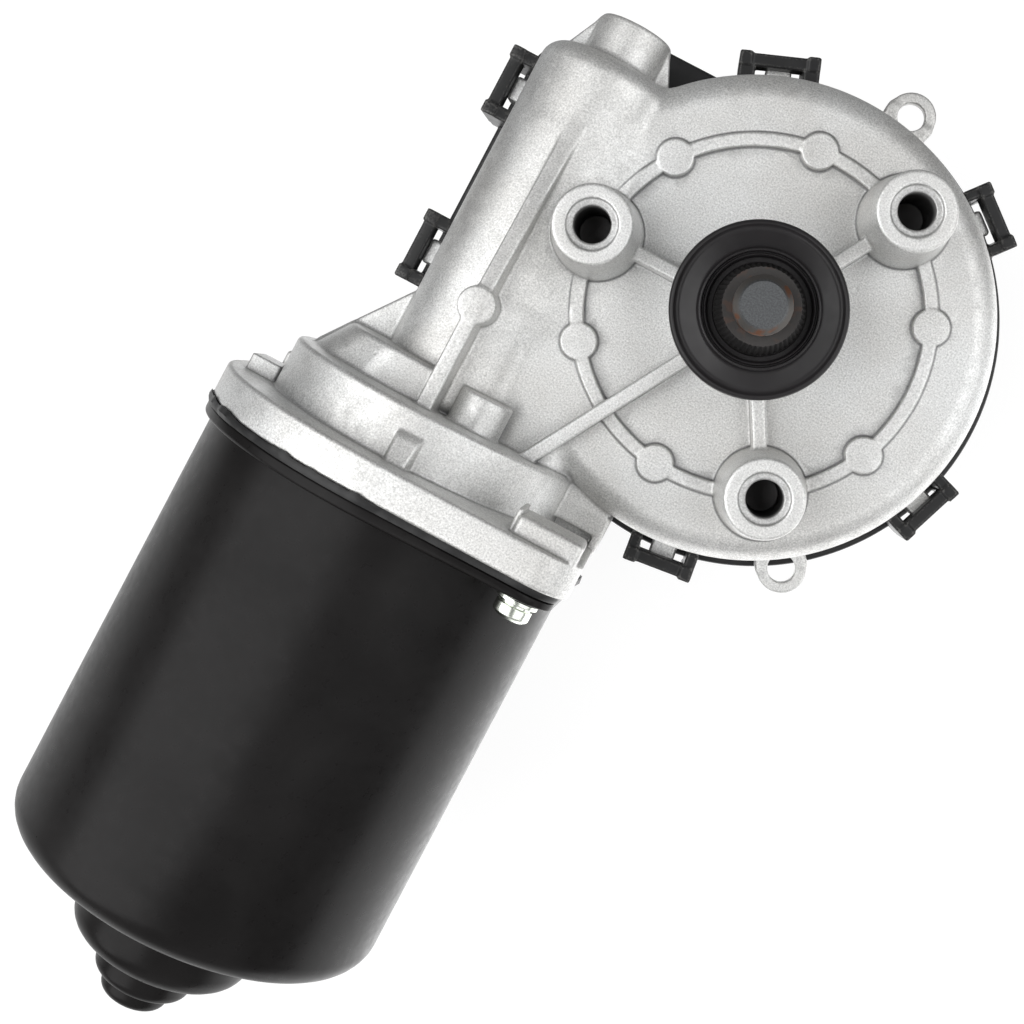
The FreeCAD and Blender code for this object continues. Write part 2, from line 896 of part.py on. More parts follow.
def drum_trim():
    """The gusset, boss, lug, web and gate stub on the casting round the drum."""
    gusset = padded("neck_gusset", [
        (worm_x - size.neck_width - size.neck_spread, -size.drum_face - MARGIN),
        (worm_x, -size.drum_face - MARGIN),
        (worm_x, -size.neck_gusset_reach),
        (worm_x - size.tunnel_radius + size.seat_gap, -size.neck_gusset_reach),
        (worm_x - size.neck_width, -size.neck_reach),
    ], size.neck_gusset_height, worm_z - size.neck_gusset_height / 2)
    half_round = cylinder(
        "drum_half_round", size.half_boss_radius,
        size.drum_face - size.half_boss_reach + MARGIN,
        worm_x + size.half_boss_across, -size.drum_face - MARGIN,
        worm_z + size.half_boss_rise, ALONG_Y)
    lug = doc.addObject("PartDesign::Body", "drum_lug")
    rise = size.drum_radius + size.lug_rise
    profile = outline(lug, "drum_lug_profile", "YZ_Plane", [
        (-size.flange_face - MARGIN, size.drum_radius - size.drum_wall),
        (-size.flange_face - MARGIN, rise),
        (-size.flange_face, rise),
        (-size.lug_reach, size.drum_radius - MARGIN),
        (-size.lug_reach, size.drum_radius - size.drum_wall),
    ])
    pad = lug.newObject("PartDesign::Pad", "drum_lug_pad")
    pad.Profile = profile
    bind(pad, "Length", size.lug_width)
    put(lug, worm_x + size.lug_across - size.lug_width / 2, 0, worm_z)
    low = rim_z + size.ear_thickness
    high = worm_z + size.web_rise
    edge = worm_x + size.web_across
    bar = box("drum_web", (worm_x + size.drum_radius - size.drum_wall,
                           -size.web_start - size.web_width, low),
              (edge, -size.web_start, high))
    tie = box("drum_web_tie", (edge - size.can_ear_radius, -size.web_start, low),
              (edge, -size.drum_face + MARGIN, high))
    wall = box("drum_web_wall", (edge - size.web_wall, -size.flange_face - MARGIN, low),
               (edge, -size.web_start, high))
    stub = box("gate_stub", (worm_x - size.gate_across, -size.flange_face, worm_z),
               (worm_x - size.gate_across + size.gate_width,
                size.gate_height - size.flange_face, worm_z + size.gate_rise))
    return [neck_block(), gusset, half_round, lug, bar, tie, wall, stub]


def housing_hollows():
    """Everything that is open inside the casting."""
    hollows = [
        cylinder("gear_cavity", cavity_radius, ceiling_z - rim_z + MARGIN, 0, 0,
                 rim_z - MARGIN),
        cylinder("worm_bore", size.tunnel_bore,
                 worm_bush_y - size.worm_bore_gap - bearing_seat_y
                 - size.bearing_width - size.seat_gap,
                 worm_x, bearing_seat_y + size.bearing_width + size.seat_gap,
                 worm_z, ALONG_Y),
        box("side_cavity",
            (side_x + size.housing_wall, size.housing_wall - size.side_wall_reach,
             rim_z - MARGIN),
            (0, side_room_end, worm_z)),
        cylinder("bearing_seat", size.bearing_radius, size.bearing_width + size.seat_gap,
                 worm_x, bearing_seat_y, worm_z, ALONG_Y),
        cylinder("drum_cavity", size.drum_radius - size.drum_wall,
                 bearing_seat_y - flange_back_y + MARGIN, worm_x,
                 flange_back_y - MARGIN, worm_z, ALONG_Y),
        cylinder("worm_bush_seat", size.worm_bush_radius,
                 size.worm_bush_length + size.worm_bush_run_in,
                 worm_x, worm_bush_y - size.worm_bush_run_in, worm_z, ALONG_Y),
        cylinder("thrust_thread", size.thrust_thread_radius, size.thrust_boss_reach,
                 worm_x, MARGIN, worm_z, ALONG_Y),
        cylinder("hub_bore", bush_outer_radius, size.hub_height - ceiling_z + 2 * MARGIN,
                 0, 0, ceiling_z - MARGIN),
    ]
    for third, angle in enumerate(BOSS_ANGLES):
        x = size.boss_circle_radius * cosine(angle)
        y = size.boss_circle_radius * sine(angle)
        hollows.append(cylinder(f"boss_hole_{third}", size.boss_hole_radius,
                                size.boss_hole_depth + MARGIN, x, y,
                                -size.boss_hole_depth))
        hollows.append(cone(f"boss_sink_{third}", size.boss_hole_radius,
                            size.boss_sink_radius, size.boss_sink_depth,
                            x, y, -size.boss_sink_depth))
    for name, reach, angle in EARS:
        x = reach * cosine(angle)
        y = reach * sine(angle)
        hollows.append(cylinder(f"{name}_hole", size.ear_hole_radius,
                                size.ear_thickness + 2 * MARGIN, x, y,
                                rim_z - MARGIN))
    for sign, side in SIDES:
        x, z = can_screw_place(sign)
        hollows.append(cylinder(f"flange_hole_{side}", size.can_screw_radius,
                                size.flange_thickness + 3 * MARGIN, x,
                                flange_back_y - MARGIN, z,
                                ALONG_Y))
    return hollows


def gear_housing():
    hub = cone("hub", size.hub_base_radius, size.hub_top_radius,
               size.hub_height - recess_z + MARGIN, 0, 0, recess_z - MARGIN)
    recess = cylinder("plate_recess", size.boss_circle_radius, size.recess_step + SKIM,
                      0, 0, recess_z)
    case = fuse("case", [
        housing_disc(), housing_shoulder(), worm_tunnel(),
        box("side_block", (side_x, -size.side_wall_reach, rim_z),
            (worm_x, size.tunnel_reach, worm_z)),
        box("drum_floor", (worm_x, -size.drum_face - MARGIN, worm_z),
            (-size.floor_reach, MARGIN - size.side_wall_reach, plateau_z)),
        drum_and_flange(),
    ])
    plate = cut("case_with_recess", case, [recess])
    outside = fuse("casting", [plate, hub, thrust_boss(), thrust_gussets()]
                   + housing_ribs() + long_rib() + housing_ears()
                   + housing_catches() + drum_trim() + housing_screw_pads()
                   + screw_ears("flange_ear", flange_back_y, size.flange_thickness))
    node("gear_housing", cut("gear_housing", outside, housing_hollows()))


# Cover, its seal and what it carries

def rim_outline(name, grow, low, high):
    """The outline of the casting's open side, as a solid of this height."""
    disc = cylinder(f"{name}_disc", disc_radius + grow, high - low, 0, 0, low)
    side = box(f"{name}_side", (side_x - grow, -size.side_wall_reach - grow, low),
               (0, size.tunnel_reach + grow, high))
    return [disc, side]


def rim_inside(name, low, high):
    """The room inside that outline."""
    disc = cylinder(f"{name}_disc_room", cavity_radius, high - low, 0, 0, low)
    side = box(f"{name}_side_room",
               (side_x + size.housing_wall, size.housing_wall - size.side_wall_reach, low),
               (0, side_room_end, high))
    return [disc, side]


def cover_seal():
    ring = fuse("seal_outline", rim_outline("seal", 0, cover_top_z, rim_z))
    room = rim_inside("seal", cover_top_z - MARGIN, rim_z + MARGIN)
    node("cover_seal", cut("cover_seal", ring, room))


def cover_latch(index, angle, wall, shift):
    """A springy loop that reaches up the casting and snaps over its catch."""
    low = cover_bottom_z + MARGIN
    half = size.latch_width / 2
    gap = size.seat_gap
    loop = box(f"latch_{index}_loop", (wall + gap, -half, low),
               (wall + gap + size.latch_reach, half, rim_z + size.latch_height))
    window_half = size.latch_window / 2
    window = box(f"latch_{index}_window", (wall - MARGIN, -window_half, low - MARGIN),
                 (wall + gap + size.latch_reach - size.latch_bar, window_half,
                  rim_z + size.latch_height + MARGIN))
    latch = cut(f"latch_{index}", loop, [window])
    return put(latch, 0, shift, 0, about_z(angle))


def connector_socket():
    """The open box that the vehicle's plug goes into, facing +Y."""
    middle = socket_middle
    half = size.socket_width / 2
    top = cover_top_z
    low = top - size.socket_height
    face = size.socket_face
    outer = box("socket_outer", (middle - half, face - size.socket_depth - size.socket_root, low),
                (middle + half, face, top))
    wall = size.socket_wall
    inner = box("socket_inner",
                (middle - half + wall, face - size.socket_depth, low + wall),
                (middle + half - wall, face + MARGIN, top - wall))
    return outer, inner


def gear_cover():
    plate = rim_outline("cover", size.cover_overhang, cover_bottom_z, cover_top_z)
    latches = [cover_latch(index, *place) for index, place in enumerate(latch_places())]
    posts = []
    for third in range(3):
        angle = 30 + 120 * third
        reach = size.contact_plate_radius - size.cover_post_inset
        posts.append(cylinder(f"cover_post_{third}", size.cover_post_radius,
                              size.contact_plate_rise + size.cover_post_root,
                              reach * cosine(angle), reach * sine(angle),
                              cover_floor_z - size.cover_post_root))
    shell = cut("cover_shell", fuse("cover_plate", plate),
                rim_inside("cover", cover_floor_z, cover_top_z + MARGIN))
    outer, inner = connector_socket()
    whole = fuse("cover_whole", [shell, outer] + latches + posts)
    drum_room = cylinder("cover_drum_room", size.drum_radius + size.seat_gap,
                         size.flange_face, worm_x, -size.drum_face - size.flange_face
                         + size.seat_gap, worm_z, ALONG_Y)
    node("gear_cover", cut("gear_cover", whole, [inner, drum_room]))


def contact_plate():
    plate = cylinder("contact_plate", size.contact_plate_radius,
                     size.contact_plate_thickness, 0, 0, contact_plate_z)
    node("contact_plate", plate)


def park_contacts():
    """Three sprung fingers that ride on the wheel's contact disc."""
    low = contact_plate_z + size.contact_plate_thickness
    high = wheel_bottom_z - size.park_disc_thickness - size.seat_gap
    thick = size.finger_thickness
    reach = size.finger_run + size.finger_tip
    lean = thick * size.finger_lean
    fingers = []
    for index in range(3):
        radius = size.park_disc_radius - size.finger_inset - size.finger_spacing * index
        body = doc.addObject("PartDesign::Body", f"park_contact_{index}")
        profile = outline(body, f"park_contact_{index}_profile", "XZ_Plane", [
            (-size.finger_foot, 0),
            (0, 0),
            (size.finger_run, high - low - thick),
            (reach, high - low - thick),
            (reach, high - low),
            (size.finger_run - lean, high - low),
            (-lean, thick),
            (-size.finger_foot, thick),
        ])
        pad = body.newObject("PartDesign::Pad", f"park_contact_{index}_pad")
        pad.Profile = profile
        bind(pad, "Length", size.finger_width)
        put(body, -reach / 2, radius, low)
        fingers.append(body)
    doc.recompute()
    node("park_contacts", group("park_contacts", fingers))


def connector_terminals():
    blades = []
    middle = socket_middle
    count = round(size.terminal_count.number)
    pitch = (size.socket_width - size.socket_wall * 2) / (size.terminal_count + size.terminal_end_room)
    back = size.socket_face - size.socket_depth
    level = cover_top_z - size.socket_height / 2
    for index in range(count):
        x = middle + pitch * (index - (count - 1) / 2)
        blades.append(box(
            f"terminal_{index}",
            (x - size.terminal_width / 2, back, level - size.terminal_thickness / 2),
            (x + size.terminal_width / 2, back + size.terminal_length,
             level + size.terminal_thickness / 2),
        ))
    node("connector_terminals", group("connector_terminals", blades))


# Motor can and what it holds

def motor_can():
    """A deep-drawn steel can with a stepped nose, and a flange with two ears."""
    profile = [
        (0, can_front_y),
        (size.flange_radius, can_front_y),
        (size.flange_radius, can_body_y),
        (size.can_radius, can_body_y),
    ]
    steps = (
        (size.can_radius, size.can_end, size.can_end_round, 5),
        (size.can_step_radius, can_step_end, size.can_step_round, 4),
        (size.can_nose_radius, can_nose_end, size.can_nose_round, 3),
        (size.can_tip_radius, can_tip_end, size.can_nose_round, 3),
    )
    for index, (radius, end, round_size, bands) in enumerate(steps):
        if index:
            profile.append((radius, -steps[index - 1][1]))
        profile += soft_corner(radius, -end, round_size, -1, bands)
    profile.append((0, -can_tip_end))
    can = put(turned("can_shell", profile), worm_x, 0, worm_z, ALONG_Y)
    inside = size.can_end - size.can_wall
    hollow = turned("can_hollow", [
        (0, can_front_y + MARGIN),
        (can_bore, can_front_y + MARGIN),
        (can_bore, size.can_end_round - inside),
        (can_bore - size.can_end_round + size.can_inside_step, -inside),
        (size.rear_bush_radius, -inside),
        (size.rear_bush_radius, rear_room_y),
        (0, rear_room_y),
    ])
    put(hollow, worm_x, 0, worm_z, ALONG_Y)
    holes = [hollow]
    for sign, side in SIDES:
        x, z = can_screw_place(sign)
        holes.append(cylinder(f"can_hole_{side}", size.can_screw_radius + size.seat_gap,
                              size.can_flange_thickness + 2 * MARGIN, x,
                              can_body_y - MARGIN, z,
                              ALONG_Y))
    ears = screw_ears("can_ear", can_body_y, size.can_flange_thickness)
    whole = fuse("can_outside", [can] + ears)
    node("motor_can", cut("motor_can", whole, holes))


def can_gasket():
    ring = cylinder("gasket_disc", size.flange_radius, size.gasket_thickness,
                    worm_x, can_front_y, worm_z, ALONG_Y)
    ears = screw_ears("gasket_ear", can_front_y, size.gasket_thickness)
    holes = [cylinder("gasket_bore", can_bore, size.gasket_thickness + 2 * MARGIN,
                      worm_x, can_front_y - MARGIN, worm_z, ALONG_Y)]
    for sign, side in SIDES:
        x, z = can_screw_place(sign)
        holes.append(cylinder(f"gasket_hole_{side}", size.can_screw_radius + size.seat_gap,
                              size.gasket_thickness + 2 * MARGIN, x,
                              can_front_y - MARGIN, z,
                              ALONG_Y))
    node("can_gasket", cut("can_gasket", fuse("gasket_whole", [ring] + ears), holes))


def can_screws():
    head = size.can_screw_head_radius
    washer = head + size.can_screw_washer_overhang
    screws = []
    for sign, side in SIDES:
        x, z = can_screw_place(sign)
        screw = turned(f"can_screw_{side}", [
            (0, -size.can_screw_head_height),
            (head - size.can_screw_chamfer, -size.can_screw_head_height),
            (head, size.can_screw_chamfer - size.can_screw_head_height),
            (head, -size.can_screw_washer_thickness),
            (washer, -size.can_screw_washer_thickness),
            (washer, 0),
            (size.can_screw_radius, 0),
            (size.can_screw_radius, size.can_screw_length),
            (0, size.can_screw_length),
        ])
        screws.append(put(screw, x, can_body_y, z, ALONG_Y))
    node("can_screws", group("can_screws", screws))


def field_magnets():
    """Two curved magnets bonded to the inside of the can."""
    magnets = []
    start = core_middle_y - size.magnet_length / 2
    for index, facing in enumerate((0, 180)):
        outer = cylinder(f"magnet_{index}_outer", magnet_outer, size.magnet_length)
        inner = cylinder(f"magnet_{index}_inner", magnet_inner, size.magnet_length)
        for rod in (outer, inner):
            bind(rod, "Angle", size.magnet_span)
        magnet = cut(f"magnet_{index}", outer, [inner])
        turn = ALONG_Y.multiply(
            Rotation(Vector(0, 0, 1), facing - size.magnet_span.number / 2))
        magnets.append(put(magnet, worm_x, start, worm_z, turn))
    node("field_magnets", group("field_magnets", magnets))


def ring(name, outer, inner, length, x=0, y=0, z=0, turn=None):
    """A plain bush or ring."""
    outside = cylinder(f"{name}_outside", outer, length)
    inside = cylinder(f"{name}_inside", inner, length)
    whole = cut(name, outside, [inside])
    put(whole, x, y, z, turn)
    return node(name, whole)


def bearings():
    shaft = size.armature_shaft_radius + size.running_fit
    ring("rear_bush", size.rear_bush_radius, shaft, size.rear_bush_length,
         worm_x, rear_bush_y - size.rear_bush_length, worm_z, ALONG_Y)
    ring("drum_bearing", size.bearing_radius, shaft, size.bearing_width,
         worm_x, bearing_seat_y + size.seat_gap, worm_z, ALONG_Y)
    ring("worm_bush", size.worm_bush_radius, size.worm_end_radius + size.running_fit,
         size.worm_bush_length,
         worm_x, worm_bush_y, worm_z, ALONG_Y)
    shaft = size.output_shaft_radius + size.running_fit
    ring("lower_output_bush", bush_outer_radius, shaft, size.lower_bush_length,
         0, 0, ceiling_z)
    ring("upper_output_bush", bush_outer_radius, shaft, size.upper_bush_length,
         0, 0, size.hub_height - size.upper_bush_setback - size.upper_bush_length)
    ring("shaft_seal", bush_outer_radius, shaft, size.shaft_seal_width,
         0, 0, size.hub_height - size.shaft_seal_setback)


def thrust_parts():
    """The screw and pad that take up the worm's end play."""
    pad = cylinder("thrust_pad", size.worm_end_radius - size.thrust_pad_inset,
                   size.thrust_pad_length, worm_x, worm_end_y + size.seat_gap, worm_z,
                   ALONG_Y)
    node("thrust_pad", pad)
    start = worm_end_y + size.seat_gap + size.thrust_pad_length
    reach = size.thrust_boss_reach - size.thrust_screw_setback
    screw = cylinder("thrust_screw_rod", size.thrust_thread_radius, reach - start,
                     worm_x, start, worm_z, ALONG_Y)
    slot = box("thrust_screw_slot",
               (worm_x - size.thrust_thread_radius - MARGIN,
                reach - size.thrust_slot_depth, worm_z - size.thrust_slot_width / 2),
               (worm_x + size.thrust_thread_radius + MARGIN, reach + MARGIN,
                worm_z + size.thrust_slot_width / 2))
    node("thrust_screw", cut("thrust_screw", screw, [slot]))


# Brush gear

BRUSH_ANGLES = (20, 200, 305)


def brush_frame(angle):
    """The turn that points a part's own X axis out from the commutator."""
    return ALONG_Y.multiply(Rotation(Vector(0, 0, 1), -angle))


def radial_box(name, angle, low, high, y_shift=0):
    """A box laid out from the motor's axis: outwards, across and along Y."""
    block = box(name, low, high)
    turn = brush_frame(angle)
    corner = turn.multVec(Vector(*[as_size(value).number for value in low]))
    return put(block, worm_x + corner.x, brush_plate_y + corner.y,
               worm_z + corner.z, turn)


def brush_gear():
    room = size.drum_radius - size.drum_wall - size.running_fit
    plate = cylinder("brush_plate_disc", room, size.brush_plate_thickness,
                     worm_x, brush_plate_y, worm_z, ALONG_Y)
    hole = cylinder("brush_plate_hole",
                    size.commutator_radius + size.brush_plate_clearance,
                    size.brush_plate_thickness + 2 * MARGIN, worm_x,
                    brush_plate_y - MARGIN, worm_z, ALONG_Y)
    node("brush_plate", cut("brush_plate", plate, [hole]))
    start = size.commutator_radius + size.seat_gap
    half = size.brush_width / 2
    rise = brush_rise
    wall = size.brush_box_wall
    box_end = room - size.brush_box_gap
    brushes, boxes, springs = [], [], []
    for index, angle in enumerate(BRUSH_ANGLES):
        brushes.append(radial_box(
            f"brush_{index}", angle, (start, -half, rise),
            (start + size.brush_length, half, rise + size.brush_height)))
        outer = radial_box(
            f"brush_box_{index}_outer", angle,
            (start + size.brush_box_setback, -half - wall, size.brush_plate_thickness),
            (box_end, half + wall, rise + size.brush_height + wall))
        inner = radial_box(
            f"brush_box_{index}_inner", angle,
            (start + size.brush_box_setback - MARGIN, -half, rise),
            (box_end - wall, half, rise + size.brush_height))
        boxes.append(cut(f"brush_box_{index}", outer, [inner]))
        springs.append(brush_spring(index, angle, start + size.brush_length,
                                    box_end - wall, rise + size.brush_height / 2))
    node("carbon_brushes", group("carbon_brushes", brushes))
    node("brush_boxes", group("brush_boxes", boxes))
    node("brush_springs", group("brush_springs", springs))


def brush_spring(index, angle, start, end, rise):
    """A coil spring between a brush and the back of its box."""
    wire = size.spring_wire.number
    radius = size.spring_radius.number
    length = (end - start).number - 2 * wire
    helix = Part.makeHelix(length / 3, length, radius)
    corners = [Vector(radius - wire, 0, -wire), Vector(radius + wire, 0, -wire),
               Vector(radius + wire, 0, wire), Vector(radius - wire, 0, wire)]
    section = Part.makePolygon(corners + corners[:1])
    coil = Part.Wire(helix.Edges).makePipeShell([section], True, True)
    turn = brush_frame(angle)
    place = turn.multVec(Vector(start.number + wire, 0, rise.number))
    return solid_from(f"brush_spring_{index}", coil, worm_x + place.x,
                      brush_plate_y + place.y, worm_z + place.z,
                      turn.multiply(ALONG_X))


def chokes():
    """Two small coils on rods that keep the brushes from disturbing radios."""
    coils = []
    for index, angle in enumerate((75, 255)):
        turn = brush_frame(angle)
        middle = size.commutator_radius + size.choke_gap
        place = turn.multVec(Vector(middle.number, -size.choke_length.number / 2,
                                    (size.brush_plate_thickness
                                     + size.choke_radius).number))
        rod = cylinder(f"choke_{index}", size.choke_radius, size.choke_length,
                       worm_x + place.x, brush_plate_y + place.y, worm_z + place.z,
                       turn.multiply(Rotation(Vector(1, 0, 0), -90)))
        coils.append(rod)
    node("choke_coils", group("choke_coils", coils))


# Armature

def armature_shaft():
    """The motor's shaft with the worm rolled on its far end."""
    tail_y = rear_bush_y - size.rear_bush_length + size.rear_bush_play
    relief = worm_length / 2 + size.worm_relief
    body = turned("armature_rod", [
        (0, tail_y),
        (size.armature_shaft_radius - size.shaft_tail_chamfer, tail_y),
        (size.armature_shaft_radius, tail_y + size.shaft_tail_chamfer),
        (size.armature_shaft_radius, -relief - size.worm_relief_taper),
        (worm_root_radius, -relief),
        (worm_root_radius, relief),
        (size.worm_end_radius, relief + size.worm_relief_taper),
        (size.worm_end_radius, worm_end_y - size.worm_end_chamfer),
        (size.worm_end_radius - size.worm_end_chamfer, worm_end_y),
        (0, worm_end_y),
    ])
    rod = body.Shape.copy()
    thread = worm_thread()
    whole = rod.fuse(thread)
    shaft = solid_from("armature_shaft", whole, worm_x, 0, worm_z, ALONG_Y)
    node("armature_shaft", shaft)


def worm_thread():
    """One thread start, swept along its helix, with a crest facing the wheel."""
    lead = worm_lead.number
    turns = round(size.worm_turns.number)
    root = worm_root_radius.number
    tip = worm_tip_radius.number
    pitch_radius = size.worm_pitch_radius.number
    half = (lead / 2 - size.tooth_play.number) / 2
    slope = size.flank_slope.number
    inner = root - size.worm_root_sink.number
    half_inner = half + (pitch_radius - inner) * slope
    half_tip = half - (tip - pitch_radius) * slope
    corners = [Vector(inner, 0, -half_inner), Vector(tip, 0, -half_tip),
               Vector(tip, 0, half_tip), Vector(inner, 0, half_inner)]
    section = Part.makePolygon(corners + corners[:1])
    helix = Part.makeHelix(lead, lead * turns, root)
    thread = Part.Wire(helix.Edges).makePipeShell([section], True, True)
    thread.translate(Vector(0, 0, -lead * (turns // 2)))
    return thread


def slot_corners(inset):
    """One winding slot in plan, with straight teeth of even width beside it."""
    half_pitch = 180 / size.slot_count.number
    spread = sine(half_pitch) / cosine(half_pitch)
    tooth = size.tooth_width / 2 / cosine(half_pitch)
    low = size.slot_inner_radius + inset
    high = size.slot_outer_radius - inset
    low_half = low * spread - tooth - inset
    high_half = high * spread - tooth - inset
    return [(low, -low_half), (high, -high_half), (high, high_half), (low, low_half)]


def round_the_shaft(body, feature, count):
    """Repeat a body's feature evenly round its own Z axis."""
    pattern = body.newObject("PartDesign::PolarPattern", f"{feature.Name}_ring")
    pattern.Originals = [feature]
    pattern.Axis = (plane_of(body, "Z_Axis"), [""])
    pattern.Angle = 360
    bind(pattern, "Occurrences", count)
    body.Tip = pattern
    doc.recompute()


def armature_core():
    """The stack of slotted steel sheets that the windings lie in."""
    bore = size.armature_shaft_radius
    body = turned("armature_core", [
        (bore, 0),
        (core_radius, 0),
        (core_radius, size.core_length),
        (bore, size.core_length),
    ])
    slot = slot_corners(0)
    mouth = size.slot_mouth / 2
    reach = core_radius + MARGIN
    corners = slot[:2] + [(slot[1][0], -mouth), (reach, -mouth), (reach, mouth),
                          (slot[1][0], mouth)] + slot[2:]
    profile = outline(body, "core_slot_outline", "XY_Plane", corners)
    pocket = body.newObject("PartDesign::Pocket", "core_slot")
    pocket.Profile = profile
    pocket.Reversed = True
    bind(pocket, "Length", size.core_length)
    doc.recompute()
    round_the_shaft(body, pocket, size.slot_count)
    put(body, worm_x, core_back_y, worm_z, ALONG_Y)
    node("armature_core", body)


def armature_windings():
    """Wire bundles through every slot, joined by a head at each end."""
    inner = size.armature_shaft_radius + size.sleeve_wall + size.sleeve_clearance
    wide = size.slot_outer_radius + size.sleeve_clearance
    narrow = wide - size.winding_taper
    back_start = -size.winding_seat
    front_start = size.core_length + size.winding_seat
    body = turned("armature_windings", [
        (inner, -size.winding_overhang),
        (narrow, -size.winding_overhang),
        (wide, back_start),
        (inner, back_start),
    ])
    profile = outline(body, "front_head_outline", "XZ_Plane", [
        (inner, front_start),
        (wide, front_start),
        (narrow, size.core_length + size.winding_overhang),
        (inner, size.core_length + size.winding_overhang),
    ])
    bundle = outline(body, "bundle_outline", "XY_Plane",
                     slot_corners(size.winding_clearance), back_start)
    pad = body.newObject("PartDesign::Pad", "winding_bundle")
    pad.Profile = bundle
    bind(pad, "Length", front_start - back_start)
    doc.recompute()
    round_the_shaft(body, pad, size.slot_count)
    head = body.newObject("PartDesign::Revolution", "front_head")
    head.Profile = profile
    head.ReferenceAxis = (plane_of(body, "Z_Axis"), [""])
    head.Angle = 360
    body.Tip = head
    put(body, worm_x, core_back_y, worm_z, ALONG_Y)
    node("armature_windings", body)


def insulators():
    """Insulating sleeves on the shaft at both ends of the core."""
    sleeves = []
    for name, start in (("back", -size.winding_overhang),
                        ("front", size.core_length)):
        outside = cylinder(
            f"sleeve_{name}_outside", size.armature_shaft_radius + size.sleeve_wall,
            size.winding_overhang, 0, 0, start)
        inside = cylinder(f"sleeve_{name}_inside", size.armature_shaft_radius,
                          size.winding_overhang, 0, 0, start)
        sleeves.append(cut(f"sleeve_{name}", outside, [inside]))
    whole = group("shaft_insulators", sleeves)
    put(whole, worm_x, core_back_y, worm_z, ALONG_Y)
    node("shaft_insulators", whole)


def commutator():
    drum = cylinder("commutator_drum", size.commutator_radius, size.commutator_length)
    holes = [cylinder("commutator_bore", size.armature_shaft_radius,
                      size.commutator_length + 2 * MARGIN, 0, 0, -MARGIN)]
    half = size.commutator_slit_width / 2
    start = size.commutator_radius - size.commutator_slit_depth
    count = round(size.commutator_bars.number)
    for index in range(count):
        angle = 360 / count * index
        slit = box(f"commutator_slit_{index}", (0, 0, 0),
                   (size.commutator_slit_run, size.commutator_slit_width,
                    size.commutator_length + 2 * MARGIN))
        put(slit, start * cosine(angle) + half * sine(angle),
            start * sine(angle) - half * cosine(angle), -MARGIN, about_z(angle))
        holes.append(slit)
    whole = cut("commutator", drum, holes)
    put(whole, worm_x, commutator_back_y, worm_z, ALONG_Y)
    node("commutator", whole)


# Output shaft and what turns with it

def worm_wheel():
    """The moulded wheel, its helical teeth cut to suit the worm."""
    count = round(size.tooth_count.number)
    pitch = wheel_pitch_radius.number
    tip = wheel_tip_radius.number
    root = wheel_root_radius.number
    slope = size.flank_slope.number
    half = (worm_lead.number / 2 - size.tooth_play.number) / 2
    width = size.wheel_width.number
    half_tip = (half - (tip - pitch) * slope) / tip
    half_root = (half + (pitch - root) * slope) / root
    twist = worm_lead.number / (2 * math.pi * size.worm_pitch_radius.number) / pitch

    def profile(height):
        turn = twist * height
        points = []
        for tooth in range(count):
            middle = 2 * math.pi * (tooth + 0.5) / count + turn
            for radius, offset in ((root, -half_root), (tip, -half_tip),
                                   (tip, half_tip), (root, half_root)):
                angle = middle + offset
                points.append(Vector(radius * math.cos(angle),
                                     radius * math.sin(angle), height))
        return Part.makePolygon(points + points[:1])

    rim = Part.makeLoft([profile(-width / 2), profile(width / 2)], True, True)
    rim_inner = root - size.wheel_rim_wall.number
    hub_radius = (size.output_shaft_radius + size.wheel_hub_wall).number
    web = size.wheel_web.number
    rise = (width - web) / 2
    below = Vector(0, 0, -width / 2 - MARGIN)
    hollow = Part.makeCylinder(rim_inner, rise + MARGIN, below)
    hollow = hollow.cut(Part.makeCylinder(hub_radius, rise + 2 * MARGIN, below))
    upper = hollow.mirror(Vector(0, 0, 0), Vector(0, 0, 1))
    bore = Part.makeCylinder(size.output_shaft_radius.number, width + 2 * MARGIN, below)
    wheel = rim.cut([upper, bore])
    seat = Part.makeCylinder(size.park_disc_radius.number, rise, Vector(0, 0, -width / 2))
    wheel = wheel.cut(hollow.cut(seat))
    ribs = []
    rib_count = round(size.wheel_rib_count.number)
    thick = size.wheel_rib_width.number
    for index in range(rib_count):
        rib = Part.makeBox(rim_inner - hub_radius + MARGIN, thick, rise,
                           Vector(hub_radius - MARGIN / 2, -thick / 2, web / 2))
        rib.rotate(Vector(0, 0, 0), Vector(0, 0, 1), 360 / rib_count * index)
        ribs.append(rib)
    wheel = wheel.fuse(ribs)
    node("worm_wheel", solid_from("worm_wheel", wheel, 0, 0, worm_z))


def park_disc():
    """The brass track on the wheel's underside that finds the park position."""
    low = wheel_bottom_z - size.park_disc_thickness
    disc = cylinder("park_disc_plate", size.park_disc_radius, size.park_disc_thickness,
                    0, 0, low)
    hole = cylinder("park_disc_hole",
                    size.output_shaft_radius + size.park_disc_clearance,
                    size.park_disc_thickness + 2 * MARGIN, 0, 0, low - MARGIN)
    half = size.park_notch_width / 2
    notch = box("park_disc_notch",
                (-half, size.park_disc_radius - size.park_notch_depth, low - MARGIN),
                (half, size.park_disc_radius + MARGIN,
                 low + size.park_disc_thickness + MARGIN))
    node("park_disc", cut("park_disc", disc, [hole, notch]))


def output_shaft():
    radius = size.output_shaft_radius
    cone_end = size.cone_start + size.cone_length
    tail_z = wheel_bottom_z - size.output_tail
    body = turned("output_shaft", [
        (0, tail_z),
        (radius - size.output_tail_chamfer, tail_z),
        (radius, tail_z + size.output_tail_chamfer),
        (radius, size.cone_start),
        (size.cone_top_radius, cone_end),
        (size.thread_radius, cone_end),
        (size.thread_radius, size.shaft_top - size.tip_chamfer),
        (size.thread_radius - size.tip_chamfer, size.shaft_top),
        (0, size.shaft_top),
    ])
    node("output_shaft", body)


